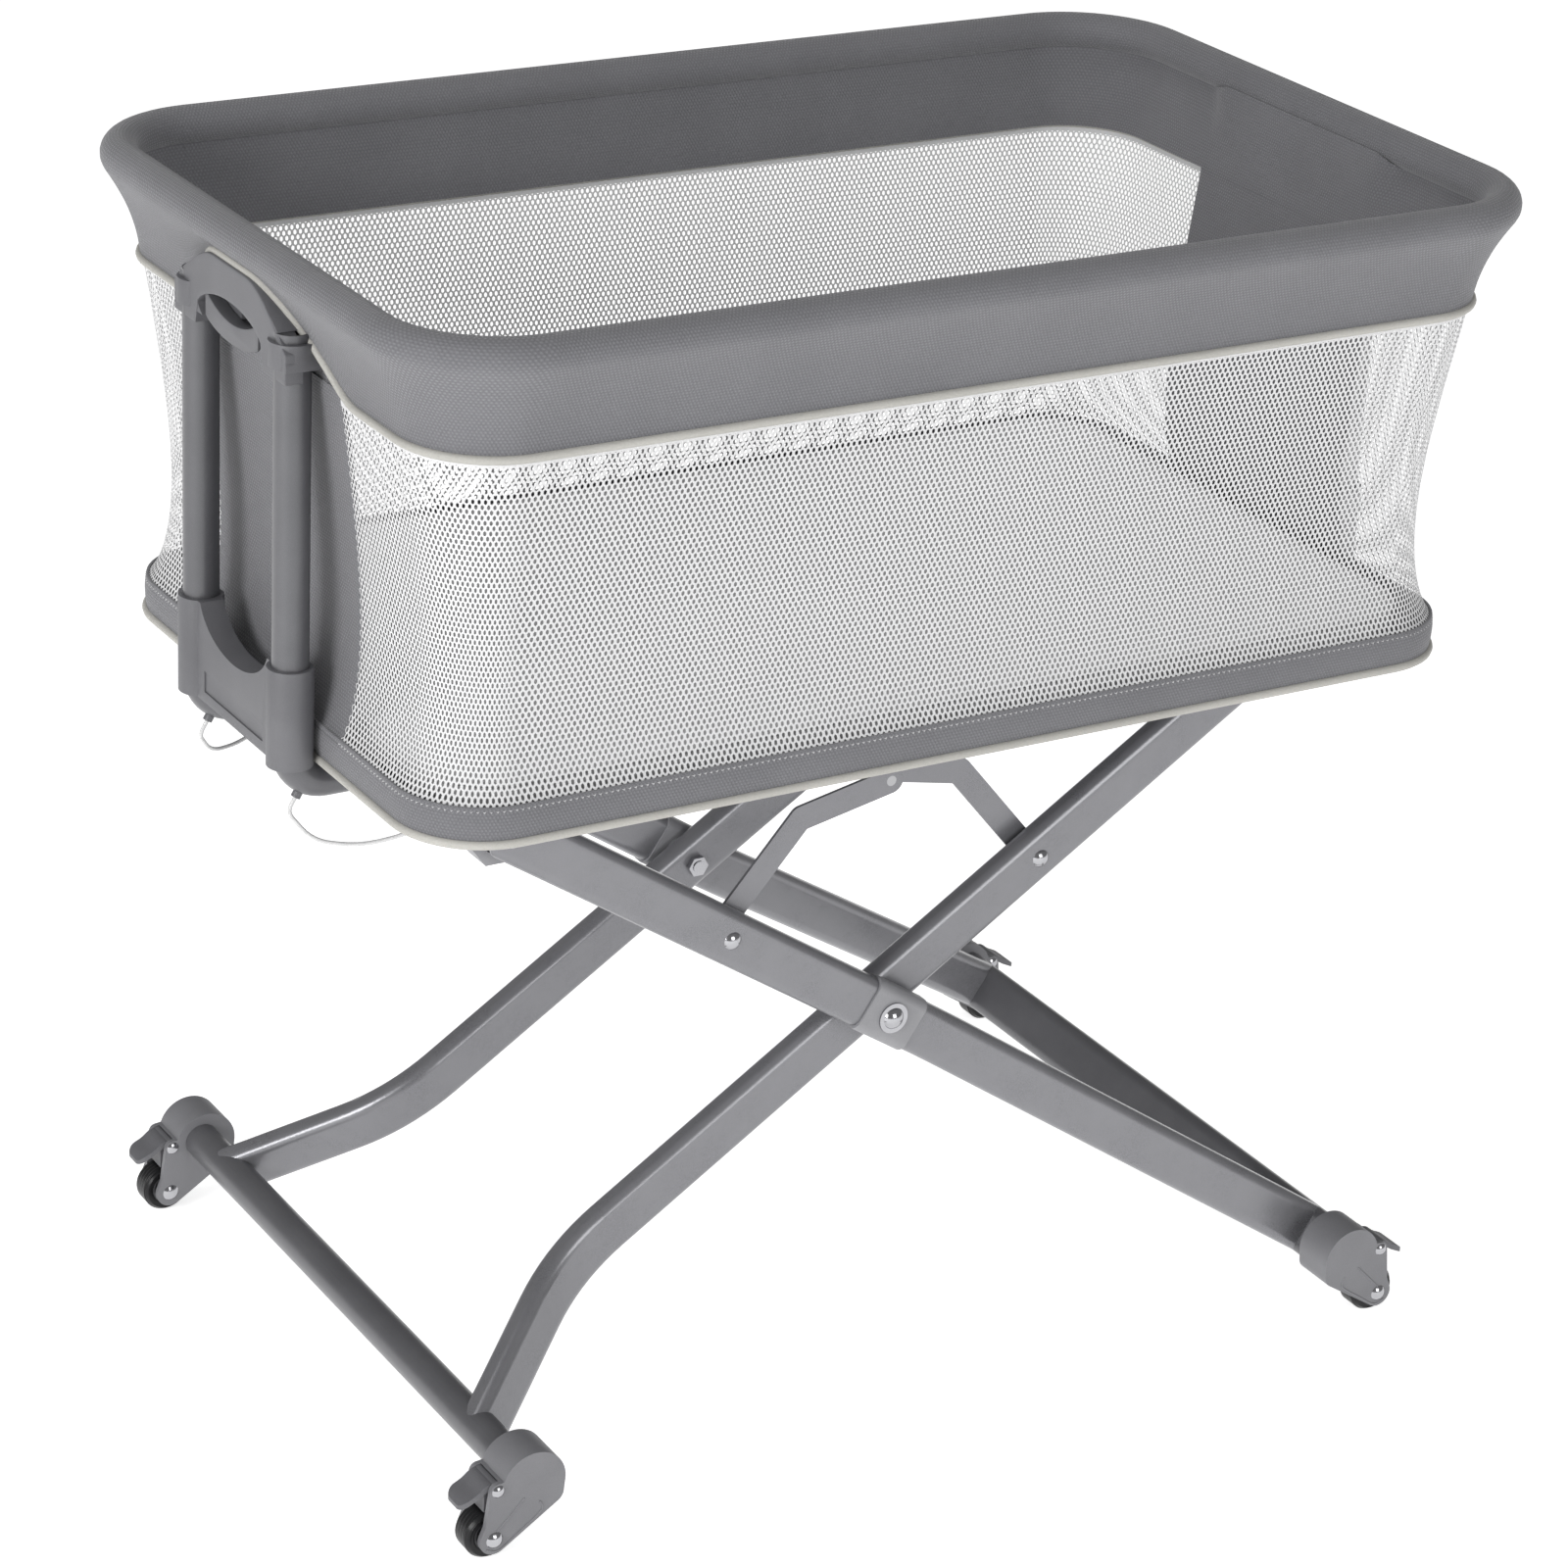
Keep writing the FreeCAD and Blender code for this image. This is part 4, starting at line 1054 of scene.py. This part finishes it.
forkFace = {
    "front": 0.0138,            # outside the rim's centreline
    "thick": 0.014,
    "half": 0.0885,
    "opening": (0.0532, 0.0207),
    "openingRise": 0.011,       # middle of the button's opening above the fork's foot
    "footRise": 0.0004,
    "underHem": 0.0012,
    "round": 0.0016,
    "steps": (56, 7),
    "post": 0.073,
    "shoulder": 0.0178,
    "domeOut": 0.001,
    "dome": (0.0150, 0.0163, 0.0105),
}


def makeForkFace(name, side, node):
    # a smooth face from the button's opening out to the hem, and a shoulder on each socket
    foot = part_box(node)[0].z
    deselectAll()
    across, up = forkFace["steps"]
    bpy.ops.mesh.primitive_grid_add(x_subdivisions=across, y_subdivisions=up, size=2,
                                    location=(0, 0, 0))
    piece = bpy.context.object
    piece.name = name
    flat = coordinates(piece)
    y = flat[:, 0] * forkFace["half"]
    share = (flat[:, 1] + 1) / 2
    wide, tall = forkFace["opening"]
    inside = np.clip(1 - (y / wide) ** 2, 0, 1)
    edge = forkFace["openingRise"] + tall * np.sqrt(inside)
    low = foot + np.where(inside > 0, edge, forkFace["footRise"])
    high = hemAt(y) - forkFace["underHem"]
    x = np.full(len(y), side * (halfLength + forkFace["front"]))
    moveVertices(piece, np.stack([x, y, low + (high - low) * share], axis=1))
    outwards(piece)
    middle = piece.data.polygons[len(piece.data.polygons) // 2]
    if middle.normal.x * side < 0:
        flipFaces(piece)
    applyModifier(piece, "SOLIDIFY", thickness=forkFace["thick"], offset=-1)
    applyModifier(piece, "BEVEL", width=forkFace["round"], segments=3, limit_method="ANGLE",
                  angle_limit=math.radians(50))
    domes = []
    domeX = side * (halfLength + forkFace["domeOut"])
    for post in (-1, 1):
        place = (domeX, post * forkFace["post"], foot + forkFace["shoulder"])
        bpy.ops.mesh.primitive_uv_sphere_add(radius=1, segments=36, ring_count=18, location=place,
                                             scale=forkFace["dome"])
        domes.append(bpy.context.object)
    makeActive(piece)
    for dome in domes:
        dome.select_set(True)
    bpy.ops.object.join()
    settle(piece)
    smooth(piece, 50)
    dress(piece, finishes["dark_plastic"], "basket")


makeForkFace("forkFaceLeft", -1, "post_fork_left")
makeForkFace("forkFaceRight", 1, "post_fork_right")

# ---- ribs on the caster housings ----

rib = {
    "radius": 0.0007,
    # runs across the outer face, as (inwards from the axle, above it)
    "lines": {
        "A": [(0.0013, 0.0064), (0.012, 0.017), (0.0228, 0.0281)],
        "B": [(0.0350, 0.0225), (0.0390, 0.0170), (0.0340, 0.0115), (0.0220, 0.0035),
              (0.0103, -0.0050), (0.0050, -0.0088), (-0.0010, -0.0095), (-0.0060, -0.0065)],
    },
}


def makeRib(name, points, body):
    # a thin raised line standing half out of the housing's outer face
    bpy.ops.curve.primitive_bezier_curve_add(location=(0, 0, 0))
    piece = bpy.context.object
    piece.name = name
    piece.data.splines.clear()
    spline = piece.data.splines.new("NURBS")
    spline.points.add(len(points) - 1)
    for place, point in zip(spline.points, points):
        place.co = (*point, 1)
    spline.order_u = 3
    spline.use_endpoint_u = True
    piece.data.bevel_depth = rib["radius"]
    piece.data.bevel_resolution = 2
    piece.data.use_fill_caps = True
    makeActive(piece)
    bpy.ops.object.convert(target="MESH")
    outwards(piece)
    smooth(piece, 60)
    dress(piece, finishes["caster_plastic"], body)


def makeCasterRibs(side, row):
    low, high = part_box("tyre_" + side + "_" + row)
    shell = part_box("caster_housing_" + side + "_" + row)
    axle = (low + high) / 2
    face = shell[0].y if row == "near" else shell[1].y
    inward = -1 if side == "right" else 1
    body = "outer_frame" if side == "right" else "inner_frame"
    name = "casterRib" + side.title() + row.title()
    for mark, outline in rib["lines"].items():
        points = [(axle.x + inward * u, face, axle.z + w) for u, w in outline]
        makeRib(name + mark, points, body)


for side in ("left", "right"):
    for row in ("near", "far"):
        makeCasterRibs(side, row)
print("fork faces and caster ribs")

# ---- floor, light and camera ----

studio = {
    "floor": 24.0,
    "floorDrop": 0.0005,
    "paper": 0.9,
    "glow": 0.72,
    "sky": 0.26,
    "aim": (0, 0, 0.5),
    "lamps": {                  # place, size, power
        "keyLight": ((0.6, -5.2, 2.3), 2.6, 100.0),
        "fillLight": ((-4.6, -1.6, 2.0), 2.0, 150.0),
        "topLight": ((-1.2, 0.6, 4.6), 2.0, 30.0),
    },
}
view = {
    "azimuth": -32.1,
    "elevation": 24.02,
    "roll": 3.097,
    "distance": 3.5368,
    "target": (0.0004, 0.0, 0.4081),
    "lens": 107.21,
    "sensor": 36.0,
}


def makeFloor():
    deselectAll()
    bpy.ops.mesh.primitive_plane_add(size=studio["floor"], location=(0, 0, -studio["floorDrop"]))
    floor = bpy.context.object
    floor.name = "studioFloor"
    finish = Finish("studioPaper", Roughness=0.9)
    finish.shader.inputs["Base Color"].default_value = (*[studio["paper"]] * 3, 1)
    finish.shader.inputs["Emission Color"].default_value = (1, 1, 1, 1)
    finish.shader.inputs["Emission Strength"].default_value = studio["glow"]
    floor.data.materials.append(finish.material)


def makeLight(name, place, size, power):
    bpy.ops.object.light_add(type="AREA", location=place)
    lamp = bpy.context.object
    lamp.name = name
    lamp.data.size = size
    lamp.data.energy = power
    aim = Vector(studio["aim"]) - Vector(place)
    lamp.rotation_euler = aim.to_track_quat("-Z", "Y").to_euler()


def makeCamera():
    azimuth, elevation, roll = (math.radians(view[key]) for key in ("azimuth", "elevation", "roll"))
    level = Vector((math.cos(azimuth), math.sin(azimuth), 0))
    away = Vector((math.sin(azimuth), -math.cos(azimuth), 0))
    back = away * math.cos(elevation) + Vector((0, 0, math.sin(elevation)))
    right = level * math.cos(roll) + back.cross(level) * math.sin(roll)
    up = back.cross(right)
    bpy.ops.object.camera_add(location=Vector(view["target"]) + back * view["distance"])
    camera = bpy.context.object
    camera.rotation_euler = Matrix((right, up, back)).transposed().to_euler()
    camera.data.lens = view["lens"]
    camera.data.sensor_width = view["sensor"]
    camera.data.clip_end = 100
    bpy.context.scene.camera = camera


makeFloor()
for lampName, (lampPlace, lampSize, lampPower) in studio["lamps"].items():
    makeLight(lampName, lampPlace, lampSize, lampPower)
world = bpy.data.worlds.new("studioSky")
world.use_nodes = True
sky = world.node_tree.nodes["Background"]
sky.inputs["Color"].default_value = (1, 1, 1, 1)
sky.inputs["Strength"].default_value = studio["sky"]
bpy.context.scene.world = world
bpy.context.scene.view_settings.view_transform = "Standard"
makeCamera()
print("floor, lights and camera")
